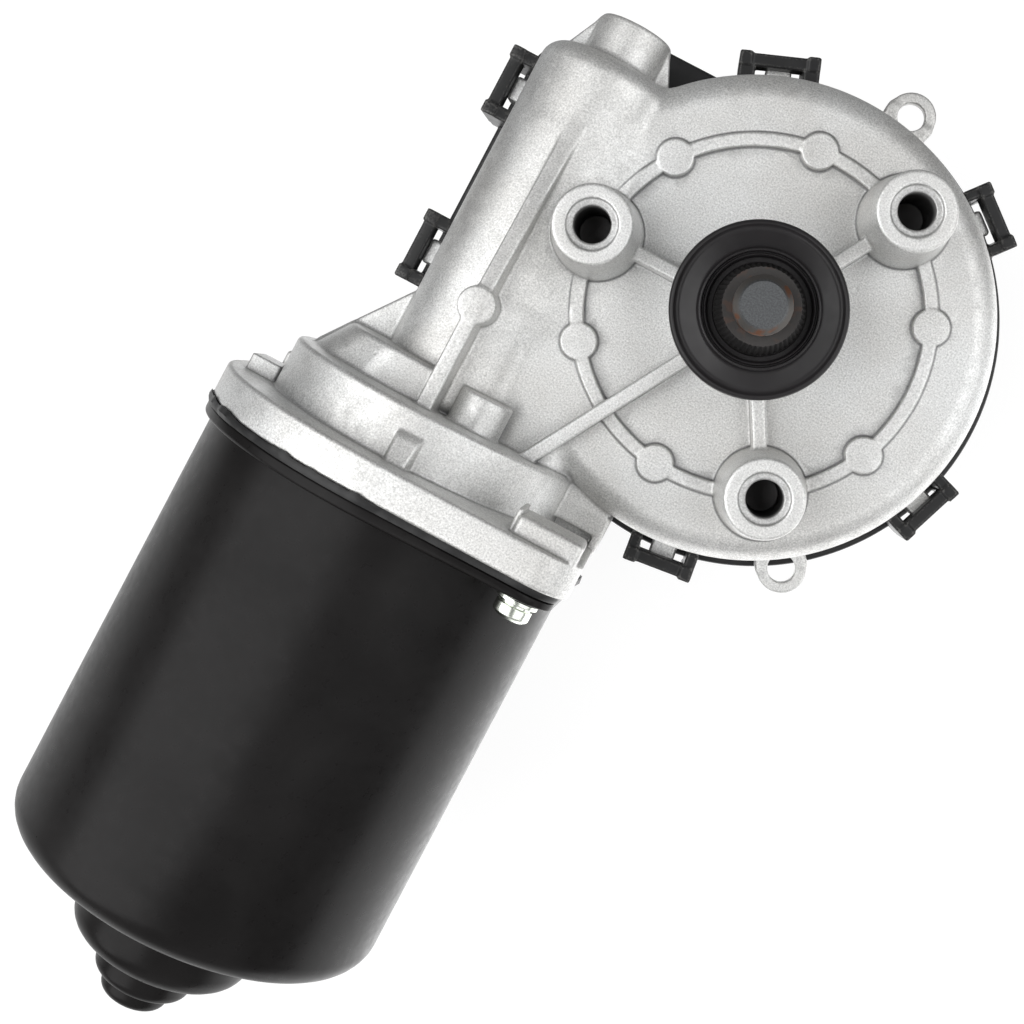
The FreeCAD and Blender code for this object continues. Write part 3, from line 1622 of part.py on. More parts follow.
def output_washers():
    radius = size.output_shaft_radius
    ring("thrust_washer", radius + size.washer_width, radius, size.washer_thickness,
         0, 0, wheel_top_z)
    ring("retaining_ring", radius + size.retaining_ring_width, radius,
         size.retaining_ring_thickness, 0, 0, size.hub_height + size.seat_gap)


def rain_cap():
    """The black cap that turns with the shaft and sheds water off the hub."""
    top = size.cap_rim_height
    wall = size.cap_wall
    radius = size.output_shaft_radius
    collar = size.cap_collar_radius
    inside = size.cap_radius - wall
    body = turned("rain_cap", [
        (radius, size.hub_height + size.cap_rise),
        (radius, top),
        (collar - size.cap_collar_wall, top),
        (collar - size.cap_collar_wall, top + size.cap_collar_height),
        (collar, top + size.cap_collar_height),
        (collar, top + size.cap_dish_rise),
        (size.cap_radius - size.cap_rim_chamfer, top),
        (size.cap_radius, top - size.cap_rim_chamfer),
        (size.cap_radius, -size.cap_skirt_depth),
        (inside, -size.cap_skirt_depth),
        (inside, size.hub_height + size.cap_rise),
    ])
    node("rain_cap", body)


gear_housing()
cover_seal()
gear_cover()
contact_plate()
park_contacts()
connector_terminals()
motor_can()
can_gasket()
can_screws()
field_magnets()
bearings()
thrust_parts()
brush_gear()
chokes()
armature_shaft()
armature_core()
armature_windings()
insulators()
commutator()
worm_wheel()
park_disc()
output_shaft()
output_washers()
rain_cap()

doc.recompute()
for thing in doc.Objects:
    if "Invalid" in thing.State or "Error" in thing.State:
        raise RuntimeError(f"{thing.Name} failed: {thing.State}")
for name, thing in nodes.items():
    shape = thing.Shape
    if shape.isNull() or not shape.isValid():
        raise RuntimeError(f"{name} has no sound shape")
for name, thing in nodes.items():
    thing.Shape.exportStep(f"parts/{name}.step")
    print(f"{name}: {len(thing.Shape.Solids)} solids, {thing.Shape.Volume:.1f} mm3")
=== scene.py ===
import math

import bmesh
import bpy
import numpy as np
from mathutils import Matrix, Vector


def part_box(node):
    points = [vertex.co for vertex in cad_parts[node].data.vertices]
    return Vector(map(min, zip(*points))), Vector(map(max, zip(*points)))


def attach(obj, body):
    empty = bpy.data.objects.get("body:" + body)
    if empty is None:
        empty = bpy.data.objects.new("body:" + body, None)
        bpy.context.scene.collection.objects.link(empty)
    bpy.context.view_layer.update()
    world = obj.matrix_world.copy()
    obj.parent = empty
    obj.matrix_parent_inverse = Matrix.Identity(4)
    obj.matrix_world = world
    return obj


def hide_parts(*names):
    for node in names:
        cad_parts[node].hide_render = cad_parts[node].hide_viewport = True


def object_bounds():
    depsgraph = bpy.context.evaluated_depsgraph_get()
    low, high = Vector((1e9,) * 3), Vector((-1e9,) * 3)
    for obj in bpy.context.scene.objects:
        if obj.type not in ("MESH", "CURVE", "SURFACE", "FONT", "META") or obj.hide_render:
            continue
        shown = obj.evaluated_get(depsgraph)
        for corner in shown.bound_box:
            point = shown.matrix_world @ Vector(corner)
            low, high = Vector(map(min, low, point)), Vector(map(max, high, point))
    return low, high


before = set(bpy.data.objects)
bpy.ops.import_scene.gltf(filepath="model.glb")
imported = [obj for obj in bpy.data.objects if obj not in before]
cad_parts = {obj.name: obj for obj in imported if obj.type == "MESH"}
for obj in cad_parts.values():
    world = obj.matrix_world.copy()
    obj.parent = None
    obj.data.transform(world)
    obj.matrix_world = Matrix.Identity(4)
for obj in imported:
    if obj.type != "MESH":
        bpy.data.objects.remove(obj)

# Windscreen wiper motor seen square on from above, on a white sweep.
# The frame's units are metres, and every size below is in millimetres until a
# mesh is made. +Z runs out along the output shaft and the can points along -Y.

cad_low, cad_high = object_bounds()
MM = 0.001


# Camera
# The camera hangs 270 mm above the mounting face and looks almost straight down,
# rolled so that the can runs to the lower left of the picture.

CAMERA_PLACE = (-4.60, -19.01, 270.40)
CAMERA_RIGHT = (0.88346, 0.46741, -0.03193)
CAMERA_UP = (-0.46755, 0.88396, 0.00366)
CAMERA_BACK = (0.02993, 0.01170, 0.99948)
LENS = 54.034
SHIFT = -0.12

camera = bpy.data.objects.new("camera", bpy.data.cameras.new("camera"))
bpy.context.scene.collection.objects.link(camera)
turned = Matrix((CAMERA_RIGHT, CAMERA_UP, CAMERA_BACK)).transposed().to_quaternion()
camera.matrix_world = Matrix.LocRotScale(Vector(CAMERA_PLACE) * MM, turned, None)
camera.data.lens = LENS
camera.data.sensor_width = 36.0
camera.data.shift_x = SHIFT
camera.data.shift_y = SHIFT
camera.data.clip_start = 0.01
camera.data.clip_end = 10.0
bpy.context.scene.camera = camera


# Gear housing
# One aluminium die casting: the round gear case, the worm tunnel, the drum for
# the brush gear and the can's flange, shot blasted after casting. Its corners
# and roots are soft because molten metal fills them that way.

# The worm's axis runs along Y through the middle of the bearing in the drum, and
# the case's open rim lies where the cover's seal starts.
bearing_low, bearing_high = [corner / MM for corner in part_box("drum_bearing")]
WORM_X = (bearing_low.x + bearing_high.x) / 2
WORM_Z = (bearing_low.z + bearing_high.z) / 2
RIM_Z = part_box("cover_seal")[1].z / MM

PLATEAU_Z = -16.5        # the flat outside the ring rib
RECESS_Z = -17.5         # the flat inside it
CASE_RADIUS = 46.5
CASE_DRAFT = 0.5         # how much narrower the case is at its top
CASE_SIDE = -28.0        # where the case's shoulder ends towards the can
CASE_WALL = 3.6
TUNNEL_RADIUS = 14.4
TUNNEL_END = 30.5
DRUM_RADIUS = 29.9
DRUM_FACE = -43.1
FLANGE_FACE = -53.3
FLANGE_BACK = -59.9
FLANGE_RADIUS = 39.2
FLANGE_EAR = 7.6         # the round of a screw ear about its screw
CAN_SCREW_CIRCLE = 45.0
BOSS_CIRCLE = 33.0       # the ring rib runs through the middles of the bosses
BOSS_ANGLES = (60, 180, 300)
RING_HALF = 1.25
RING_TOP = -16.0
PAD_RADIUS = 3.5         # round pads on the ring rib, to both sides of each boss
PAD_TURN = 36
EARS = ((52.3, 79.4), (49.9, -54.6))    # reach and angle of the rim's holed ears
CATCH_ANGLES = (111.2, 50.6, -19.4, -82.8)    # wedges round the case
CATCH_SHIFTS = (19.2, -17.3)    # wedges along the tunnel's side


def on_circle(radius, angle):
    """The point at this radius and angle in plan, counted from +X."""
    return radius * math.cos(math.radians(angle)), radius * math.sin(math.radians(angle))


BOSS_SPOTS = [on_circle(BOSS_CIRCLE, angle) for angle in BOSS_ANGLES]
PAD_SPOTS = [on_circle(BOSS_CIRCLE, angle + side)
             for angle in BOSS_ANGLES for side in (-PAD_TURN, PAD_TURN)]
finishes = {}


def added(tree, kind, sockets=None, **settings):
    """A new node, whose sockets take plain values or other nodes' outputs."""
    node = tree.nodes.new("ShaderNode" + kind)
    for key, value in settings.items():
        setattr(node, key, value)
    for key, value in (sockets or {}).items():
        if isinstance(value, bpy.types.NodeSocket):
            tree.links.new(value, node.inputs[key])
        else:
            node.inputs[key].default_value = value
    return node


def worked(tree, way, *values):
    """One sum on up to three values, such as MULTIPLY or MINIMUM."""
    return added(tree, "Math", dict(enumerate(values)), operation=way).outputs[0]


def ramp(tree, value, low, high, start=0.0, end=1.0):
    """A value stretched from one range to another and clipped."""
    return added(tree, "MapRange", {"Value": value, "From Min": low, "From Max": high,
                                    "To Min": start, "To Max": end}).outputs[0]


def mixed(tree, share, first, second, way="MIX"):
    """Two colours mixed by a share."""
    node = added(tree, "Mix", data_type="RGBA", blend_type=way)
    for socket, value in ((node.inputs[0], share), (node.inputs[6], first),
                          (node.inputs[7], second)):
        if isinstance(value, bpy.types.NodeSocket):
            tree.links.new(value, socket)
        elif isinstance(value, tuple):
            socket.default_value = (*value, 1.0)
        else:
            socket.default_value = value
    return node.outputs[2]


def bumped(tree, height, depth, strength=1.0):
    """A normal from a height, whose full step is this many millimetres."""
    return added(tree, "Bump", {"Height": height, "Distance": depth * MM,
                                "Strength": strength}).outputs[0]


def finish(slot, **values):
    """A new material for a slot, with its uniform values on the Principled shader."""
    made = bpy.data.materials.new(slot)
    made.use_nodes = True
    tree = made.node_tree
    shader = tree.nodes["Principled BSDF"]
    for label, value in values.items():
        socket = shader.inputs[label.replace("_", " ")]
        socket.default_value = (*value, 1.0) if isinstance(value, tuple) else value
    finishes[slot] = made
    return tree, shader


def new_group(name, inputs, outputs):
    """An empty node group with its input and output nodes. Place is a vector."""
    tree = bpy.data.node_groups.new(name, "ShaderNodeTree")
    for label in inputs:
        kind = "NodeSocketVector" if label == "Place" else "NodeSocketFloat"
        tree.interface.new_socket(label, in_out="INPUT", socket_type=kind)
    for label in outputs:
        tree.interface.new_socket(label, in_out="OUTPUT", socket_type="NodeSocketFloat")
    return tree, tree.nodes.new("NodeGroupInput"), tree.nodes.new("NodeGroupOutput")


def grain_group():
    """Small shot-blasted bumps with a few deeper pits, as a height and a sparkle.

    The height is fine bumps, plus 0.6 of bumps about three times their size,
    less pits in the middles of cells about sixteen times their size.
    """
    tree, given, result = new_group("grain", ["Place", "Size"], ["Height", "Sparkle"])
    place = given.outputs["Place"]
    scale = worked(tree, "DIVIDE", 1.0, given.outputs["Size"])
    fine = added(tree, "TexNoise", {"Vector": place, "Scale": scale,
                                    "Detail": 2.0, "Roughness": 0.6}).outputs[0]
    third = worked(tree, "MULTIPLY", scale, 0.3)
    coarse = added(tree, "TexNoise", {"Vector": place, "Scale": third, "Detail": 1.0})
    sixteenth = worked(tree, "MULTIPLY", scale, 0.06)
    cells = added(tree, "TexVoronoi", {"Vector": place, "Scale": sixteenth})
    pit = ramp(tree, cells.outputs["Distance"], 0.03, 0.09, -1.6, 0.0)
    both = worked(tree, "MULTIPLY_ADD", coarse.outputs[0], 0.6, fine)
    tree.links.new(worked(tree, "ADD", both, pit), result.inputs["Height"])
    tree.links.new(fine, result.inputs["Sparkle"])
    return tree


def cloud_group():
    """Slow blotches and specks a ninth of their size, each about one half on average."""
    tree, given, result = new_group("clouds", ["Place", "Size"], ["Clouds", "Specks"])
    place = given.outputs["Place"]
    scale = worked(tree, "DIVIDE", 1.0, given.outputs["Size"])
    slow = added(tree, "TexNoise", {"Vector": place, "Scale": scale,
                                    "Detail": 4.0, "Distortion": 0.4})
    ninth = worked(tree, "MULTIPLY", scale, 9.0)
    specks = added(tree, "TexNoise", {"Vector": place, "Scale": ninth, "Detail": 3.0})
    tree.links.new(slow.outputs[0], result.inputs["Clouds"])
    tree.links.new(specks.outputs[0], result.inputs["Specks"])
    return tree


GRAIN = grain_group()
CLOUDS = cloud_group()


def shared(tree, group, size=None):
    """A shared group, fed with the piece's own coordinates in metres."""
    node = tree.nodes.new("ShaderNodeGroup")
    node.node_tree = group
    tree.links.new(added(tree, "TexCoord").outputs["Object"], node.inputs["Place"])
    if size:
        node.inputs["Size"].default_value = size * MM
    return node


def painted(tree, label):
    """A value that the mesh carries at each point."""
    return added(tree, "Attribute", attribute_name=label).outputs["Fac"]


def height_of(tree):
    """How high a spot of the piece lies above the mounting face, in metres."""
    place = added(tree, "TexCoord").outputs["Object"]
    return added(tree, "SeparateXYZ", {0: place}).outputs["Z"]


def least(tree, values):
    """The smallest of a list of values."""
    lowest = values[0]
    for value in values[1:]:
        lowest = worked(tree, "MINIMUM", lowest, value)
    return lowest


def from_axis(tree, place, centre, radius):
    """How far outside a round post a spot lies in plan."""
    flat = added(tree, "VectorMath", {0: place, 1: (1.0, 1.0, 0.0)},
                 operation="MULTIPLY").outputs[0]
    away = added(tree, "VectorMath", {0: flat, 1: (centre[0] * MM, centre[1] * MM, 0.0)},
                 operation="DISTANCE").outputs["Value"]
    return worked(tree, "SUBTRACT", away, radius * MM)


def relief_group():
    """How far outside the raised shapes of the top face a spot lies, in metres.

    The ring rib is as far as the distance from its middle circle less half its
    width. A boss or pad is as far as the distance from its axis less its radius.
    """
    boss_foot = 8.7
    tree, given, result = new_group("relief", ["Place"], ["Away", "Boss"])
    place = given.outputs["Place"]
    middle = worked(tree, "ABSOLUTE", from_axis(tree, place, (0, 0), BOSS_CIRCLE))
    gaps = [worked(tree, "SUBTRACT", middle, RING_HALF * MM)]
    gaps += [from_axis(tree, place, spot, PAD_RADIUS) for spot in PAD_SPOTS]
    boss = least(tree, [from_axis(tree, place, spot, boss_foot) for spot in BOSS_SPOTS])
    tree.links.new(least(tree, gaps + [boss]), result.inputs["Away"])
    tree.links.new(boss, result.inputs["Boss"])
    return tree


def cast_alloy():
    """Shot-blasted aluminium: pale grey grain, painted shade in corners and a painted
    highlight on edges, which also stands for wear.

    A thin band of painted shade follows the foot of the ring rib, its pads and the
    bosses, and painted shade darkens the bolt holes.
    """
    tree, shader = finish("cast_alloy", Metallic=0.75, Roughness=0.45)
    grain = shared(tree, GRAIN, 0.33)
    clouds = shared(tree, CLOUDS, 26.0)
    relief = shared(tree, relief_group())
    away = relief.outputs["Away"]
    height = height_of(tree)
    # Mask for a thin band of painted shade just outside the ring rib, its pads and the
    # bosses, low on the top face.
    foot_shade = least(tree, [ramp(tree, away, 0.0, 0.12 * MM),
                        ramp(tree, away, 0.30 * MM, 0.5 * MM, 1.0, 0.0),
                        ramp(tree, height, -15.6 * MM, -15.2 * MM, 1.0, 0.0)])
    machined = least(tree, [ramp(tree, height, -0.6 * MM, -0.2 * MM),
                            ramp(tree, relief.outputs["Boss"], -0.2 * MM, 0.0, 1.0, 0.0)])
    tint = mixed(tree, ramp(tree, clouds.outputs["Clouds"], 0.35, 0.65),
                 (0.66, 0.655, 0.64), (0.74, 0.745, 0.74))
    speckle = ramp(tree, grain.outputs["Sparkle"], 0.3, 0.7, 0.73, 1.23)
    speckles = added(tree, "CombineColor", {0: speckle, 1: speckle, 2: speckle}).outputs[0]
    tint = mixed(tree, 1.0, tint, speckles, "MULTIPLY")
    for share, colour in (
        # Painted highlight on edges, which also stands for wear.
        (ramp(tree, painted(tree, "edge"), 0.2, 0.7, 0.0, 0.35), (0.86, 0.86, 0.85)),
        (ramp(tree, machined, 0.0, 1.0, 0.0, 0.15), (0.85, 0.85, 0.84)),
        # Painted shade in corners and creases.
        (ramp(tree, painted(tree, "hollow"), 0.15, 0.75, 0.0, 0.7), (0.10, 0.10, 0.105)),
        # Painted shade at the foot of the raised shapes.
        (ramp(tree, foot_shade, 0.0, 1.0, 0.0, 0.62), (0.09, 0.09, 0.095)),
        # Painted shade deep in the bolt holes.
        (painted(tree, "bore"), (0.08, 0.078, 0.078)),
    ):
        tint = mixed(tree, share, tint, colour)
    tree.links.new(tint, shader.inputs["Base Color"])
    rough = ramp(tree, clouds.outputs["Specks"], 0.3, 0.7, 0.42, 0.56)
    tree.links.new(rough, shader.inputs["Roughness"])
    tree.links.new(bumped(tree, grain.outputs["Height"], 0.05, 0.55),
                   shader.inputs["Normal"])


def blended(first, second, width):
    """The lower of two fields, with a round of this width where they meet.

    Where the fields differ by less than the width, the lower one drops by the
    square of what is left over, divided by four widths.
    """
    if np.isscalar(width) and width <= 0:
        return np.minimum(first, second)
    left = np.maximum(width - np.abs(first - second), 0)
    return np.minimum(first, second) - left * left / (4 * width)


class Casting:
    """A solid kept as distances to its surface on a grid, negative inside."""

    FAR = 100.0

    def __init__(self, low, high, step):
        self.step = step
        self.low = np.array(low, float)
        counts = np.ceil((np.array(high, float) - self.low) / step).astype(int) + 1
        self.axes = [
            (start + step * np.arange(count)).astype(np.float32)
            for start, count in zip(self.low, counts)
        ]
        self.values = np.full(counts, self.FAR, np.float32)

    def part(self, shape, spare):
        """The grid's slices that hold a shape, and the coordinates in them."""
        slices = []
        for axis, low, high in zip(self.axes, shape["low"], shape["high"]):
            first = np.searchsorted(axis, low - spare)
            last = np.searchsorted(axis, high + spare)
            slices.append(slice(first, max(last, first + 1)))
        spots = np.ix_(*[axis[piece] for axis, piece in zip(self.axes, slices)])
        return tuple(slices), spots

    def add(self, shape, round_size=0.0, sign=1):
        """Metal joined on, with a round of this width where it meets the rest."""
        place, spots = self.part(shape, round_size + 2 * self.step)
        field = shape["field"](*spots)
        self.values[place] = sign * blended(sign * self.values[place], field, round_size)

    def cut(self, shape, round_size=0.0):
        """Metal taken away, which is air joined on to the air outside."""
        self.add(shape, round_size, -1)


def shape_of(low, high, field):
    """A shape: the box that holds it and its distance at any coordinates."""
    return {"low": low, "high": high, "field": field}


def softened(across, along, round_size):
    """Distance to a straight run of a flat outline, with its end edges rounded.

    The two distances, each moved in by the round, make a right angle. Outside
    it counts the straight-line distance to its corner, less the round.
    """
    across = across + round_size
    along = along + round_size
    outside = np.hypot(np.maximum(across, 0), np.maximum(along, 0))
    return np.minimum(np.maximum(across, along), 0) + outside - round_size


def post(x, y, low, high, radius, top_radius=None, soft=0.4):
    """A round post along Z, tapered if it has a top radius of its own.

    Across, it is the distance from the axis less the radius at that height.
    Along, it is the distance from the middle less half the height.
    """
    top_radius = radius if top_radius is None else top_radius
    widest = max(radius, top_radius)

    def field(px, py, pz):
        share = np.clip((pz - low) / (high - low), 0, 1)
        across = np.hypot(px - x, py - y) - (radius + (top_radius - radius) * share)
        along = np.abs(pz - (low + high) / 2) - (high - low) / 2
        return softened(across, along, soft)

    return shape_of((x - widest, y - widest, low), (x + widest, y + widest, high), field)


def rod(x, z, start, end, radius, soft=0.4):
    """A round rod along Y, with its distances as a post has them."""

    def field(px, py, pz):
        across = np.hypot(px - x, pz - z) - radius
        along = np.abs(py - (start + end) / 2) - (end - start) / 2
        return softened(across, along, soft)

    return shape_of((x - radius, start, z - radius), (x + radius, end, z + radius), field)


def block(low, high, soft=0.4, turn=0.0, pivot=(0.0, 0.0)):
    """A box with rounded edges, turned about a point in plan.

    It is how far a place lies past the box's faces, each moved in by the round,
    as a straight-line distance to the box that is left, less the round.
    """
    middle = [(a + b) / 2 for a, b in zip(low, high)]
    half = [(b - a) / 2 for a, b in zip(low, high)]
    cosine = math.cos(math.radians(turn))
    sine = math.sin(math.radians(turn))
    reach = math.hypot(half[0], half[1])
    centre_x = pivot[0] + (middle[0] - pivot[0]) * cosine - (middle[1] - pivot[1]) * sine
    centre_y = pivot[1] + (middle[0] - pivot[0]) * sine + (middle[1] - pivot[1]) * cosine

    def field(px, py, pz):
        along = (px - centre_x) * cosine + (py - centre_y) * sine
        across = -(px - centre_x) * sine + (py - centre_y) * cosine
        gaps = [np.abs(along) - half[0] + soft, np.abs(across) - half[1] + soft,
                np.abs(pz - middle[2]) - half[2] + soft]
        outside = np.sqrt(sum(np.maximum(gap, 0) ** 2 for gap in gaps))
        inside = np.minimum(np.maximum(np.maximum(gaps[0], gaps[1]), gaps[2]), 0)
        return outside + inside - soft

    if turn:
        corner = (centre_x - reach, centre_y - reach, low[2])
        return shape_of(corner, (centre_x + reach, centre_y + reach, high[2]), field)
    return shape_of(low, high, field)


def faceted(low, high, faces, soft=0.8):
    """A solid bounded by flat faces, each a point and a direction outwards.

    Its distance is the largest of the distances to the faces, and two faces
    that meet are blended over the round.
    """

    def field(px, py, pz):
        worst = None
        for point, way in faces:
            length = math.sqrt(sum(value * value for value in way))
            gap = sum((p - q) * (n / length) for p, q, n in zip((px, py, pz), point, way))
            worst = gap if worst is None else -blended(-worst, -gap, soft)
        return worst

    return shape_of(low, high, field)


CORNERS = [(a, b, c) for a in (0, 1) for b in (0, 1) for c in (0, 1)]


def skin(casting):
    """Points and quads of the surface where the distances pass through zero.

    Every grid cell that the surface crosses gets one point, the mean of the
    crossings on its twelve edges. Every grid edge that is crossed gets one quad,
    between the four cells round it.
    """
    values = casting.values
    inside = values < 0
    cells = np.array(values.shape) - 1
    count = np.zeros(cells, np.int8)
    for a, b, c in CORNERS:
        count += inside[a:a + cells[0], b:b + cells[1], c:c + cells[2]]
    crossed = (count > 0) & (count < 8)
    number = np.full(cells, -1, np.int32)
    where = np.argwhere(crossed)
    number[crossed] = np.arange(len(where), dtype=np.int32)
    total = np.zeros((len(where), 3))
    hits = np.zeros(len(where))
    for first in CORNERS:
        for axis in range(3):
            if first[axis]:
                continue
            second = list(first)
            second[axis] = 1
            start = where + first
            end = where + second
            at_start = values[tuple(start.T)]
            at_end = values[tuple(end.T)]
            passes = (at_start < 0) != (at_end < 0)
            share = np.where(passes, at_start / np.where(passes, at_start - at_end, 1), 0)
            point = start + 0.0
            point[:, axis] += share
            total += point * passes[:, None]
            hits += passes
    points = casting.low + total / hits[:, None] * casting.step
    quads = []
    for axis in range(3):
        one, two = [other for other in range(3) if other != axis]
        near = [slice(1, -1)] * 3
        near[axis] = slice(0, -1)
        far = list(near)
        far[axis] = slice(1, None)
        changes = inside[tuple(near)] != inside[tuple(far)]
        base = np.argwhere(changes)
        base[:, one] += 1
        base[:, two] += 1
        ring = []
        for shift_one, shift_two in ((-1, -1), (0, -1), (0, 0), (-1, 0)):
            cell = base.copy()
            cell[:, one] += shift_one
            cell[:, two] += shift_two
            ring.append(number[tuple(cell.T)])
        ring = np.stack(ring, 1)
        outward = inside[tuple(base.T)]
        if axis == 1:
            outward = ~outward
        ring[~outward] = ring[~outward][:, ::-1]
        quads.append(ring)
    return points, np.concatenate(quads)


def sampled(casting, points):
    """The distances at any points, weighted between the eight grid corners."""
    spot = (points - casting.low) / casting.step
    base = np.clip(np.floor(spot).astype(int), 0, np.array(casting.values.shape) - 2)
    share = spot - base
    result = np.zeros(len(points))
    for corner in CORNERS:
        weight = np.prod(np.where(corner, share, 1 - share), axis=1)
        result += weight * casting.values[tuple((base + corner).T)]
    return result


def uphill(casting, points):
    """The direction in which the distance grows fastest, which is outwards."""
    slope = np.empty_like(points)
    for axis in range(3):
        shift = np.zeros(3)
        shift[axis] = casting.step * 0.75
        slope[:, axis] = (sampled(casting, points + shift)
                          - sampled(casting, points - shift))
    slope /= 1.5 * casting.step
    return slope


def mesh_of(name, points, faces):
    """A mesh in metres from points in millimetres and equal-sided faces."""
    mesh = bpy.data.meshes.new(name)
    faces = np.asarray(faces, np.int32)
    mesh.vertices.add(len(points))
    mesh.vertices.foreach_set("co", (np.asarray(points) * MM).astype(np.float32).ravel())
    mesh.loops.add(faces.size)
    mesh.loops.foreach_set("vertex_index", faces.ravel())
    mesh.polygons.add(len(faces))
    mesh.polygons.foreach_set("loop_start", np.arange(0, faces.size, faces.shape[1]))
    mesh.update(calc_edges=True)
    mesh.validate()
    mesh.shade_smooth()
    return mesh


def thinned(mesh, share):
    """The mesh with this share of its triangles left, fewest where it is flat."""
    holder = bpy.data.objects.new("holder", mesh)
    bpy.context.scene.collection.objects.link(holder)
    holder.modifiers.new("thinned", "DECIMATE").ratio = share
    graph = bpy.context.evaluated_depsgraph_get()
    result = bpy.data.meshes.new_from_object(holder.evaluated_get(graph))
    bpy.data.objects.remove(holder)
    return result


def split_long(mesh, longest):
    """Halves every edge that is longer than this many millimetres, three times."""
    work = bmesh.new()
    work.from_mesh(mesh)
    for _ in range(3):
        long_ones = [edge for edge in work.edges if edge.calc_length() > longest * MM]
        bmesh.ops.subdivide_edges(work, edges=long_ones, cuts=1)
        bmesh.ops.triangulate(work, faces=[face for face in work.faces
                                           if len(face.verts) > 3])
    work.to_mesh(mesh)
    work.free()


def marked(mesh, casting, points, way):
    """Stores how hollow, edge-like or deep in a bolt hole every point is.

    A flat wall lies one step below a spot one step out. Where the spot is nearer
    to the metal than that, the place is a corner. The same one step inwards
    finds the edges.
    """
    hole_reach, hole_shade = 3.8, 2.5
    values = {}
    for label, sign, steps in (("hollow", 1, (0.5, 1.2)), ("edge", -1, (0.6, 1.1))):
        total = np.zeros(len(points))
        for step in steps:
            away = sampled(casting, points + way * step * sign) * sign
            total += np.clip(1 - away / step, 0, 1)
        values[label] = total / len(steps)
    # How deep a point lies in a bolt hole, which the cast finish turns into painted shade.
    values["bore"] = np.zeros(len(points))
    for x, y in BOSS_SPOTS:
        near = np.hypot(points[:, 0] - x, points[:, 1] - y) < hole_reach
        values["bore"] += np.clip(-points[:, 2] / hole_shade, 0, 1) * near
    for label, value in values.items():
        layer = mesh.attributes.new(label, "FLOAT", "POINT")
        layer.data.foreach_set("value", value.astype(np.float32))


def cast_mesh(name, casting, triangles):
    """The skin of a casting, thinned where it is flat, with the field's normals.

    Long triangles are split again so that a bend in the light shows on flats.
    """
    kept, longest, farthest = 0.56, 4.5, 0.3
    points, quads = skin(casting)
    for _ in range(2):
        slope = uphill(casting, points)
        height = sampled(casting, points) / np.maximum((slope ** 2).sum(1), 0.2)
        points = points - slope * np.clip(height, -farthest, farthest)[:, None]
    mesh = mesh_of(name, points, quads)
    share = triangles * kept / (2 * len(quads))
    if share < 1:
        mesh = thinned(mesh, share)
        split_long(mesh, longest)
    spots = np.empty(len(mesh.vertices) * 3, np.float32)
    mesh.vertices.foreach_get("co", spots)
    spots = spots.reshape(-1, 3).astype(float) / MM
    way = uphill(casting, spots)
    way /= np.maximum(np.linalg.norm(way, axis=1, keepdims=True), 1e-6)
    marked(mesh, casting, spots, way)
    mesh.shade_smooth()
    mesh.normals_split_custom_set_from_vertices(way)
    return mesh


def clad(slot, *names):
    """Gives CAD nodes the finish of their slot."""
    for name in names:
        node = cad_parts[name]
        node.data.materials.clear()
        node.data.materials.append(finishes[slot])


def placed(name, mesh, body, slot, replaced=()):
    """A new piece of the motor that rides on its body."""
    piece = bpy.data.objects.new(name, mesh)
    bpy.context.scene.collection.objects.link(piece)
    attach(piece, body)
    piece.data.materials.clear()
    piece.data.materials.append(finishes[slot])
    if replaced:
        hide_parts(*replaced)
        clad(slot, *replaced)


def can_screw_spots():
    """The can screws' axes in X and Z, on a diagonal through the worm's axis."""
    half = CAN_SCREW_CIRCLE * math.sqrt(0.5)
    return [(WORM_X + half, WORM_Z + half), (WORM_X - half, WORM_Z - half)]


def eared_reach(turn, radius, ear):
    """How far a flange with two ears reaches from the can's axis at any angle.

    An ear is joined to the round by straight runs that touch both. A run
    touches the round at the angle whose cosine is the difference of the radii
    over the screws' distance. From there to its end on the ear it is as far as
    the radius over the cosine of what is left of that angle.
    """
    touch = math.acos((radius - ear) / CAN_SCREW_CIRCLE)
    end = math.atan2(ear * math.sin(touch), CAN_SCREW_CIRCLE + ear * math.cos(touch))
    reach = np.full(np.shape(turn), float(radius))
    for x, z in can_screw_spots():
        off = np.abs((turn - math.atan2(z - WORM_Z, x - WORM_X) + math.pi)
                     % math.tau - math.pi)
        left = ear ** 2 - (CAN_SCREW_CIRCLE * np.sin(off)) ** 2
        tip = CAN_SCREW_CIRCLE * np.cos(off) + np.sqrt(np.maximum(left, 0))
        run = radius / np.cos(np.clip(touch - off, 0, touch))
        reach = np.where(off < end, tip, np.where(off < touch, run, reach))
    return reach


BELOW = 20.0    # metal under the rim, until the rim is cut flat
BEYOND = 99.0   # the height of a shape of which only the plan counts


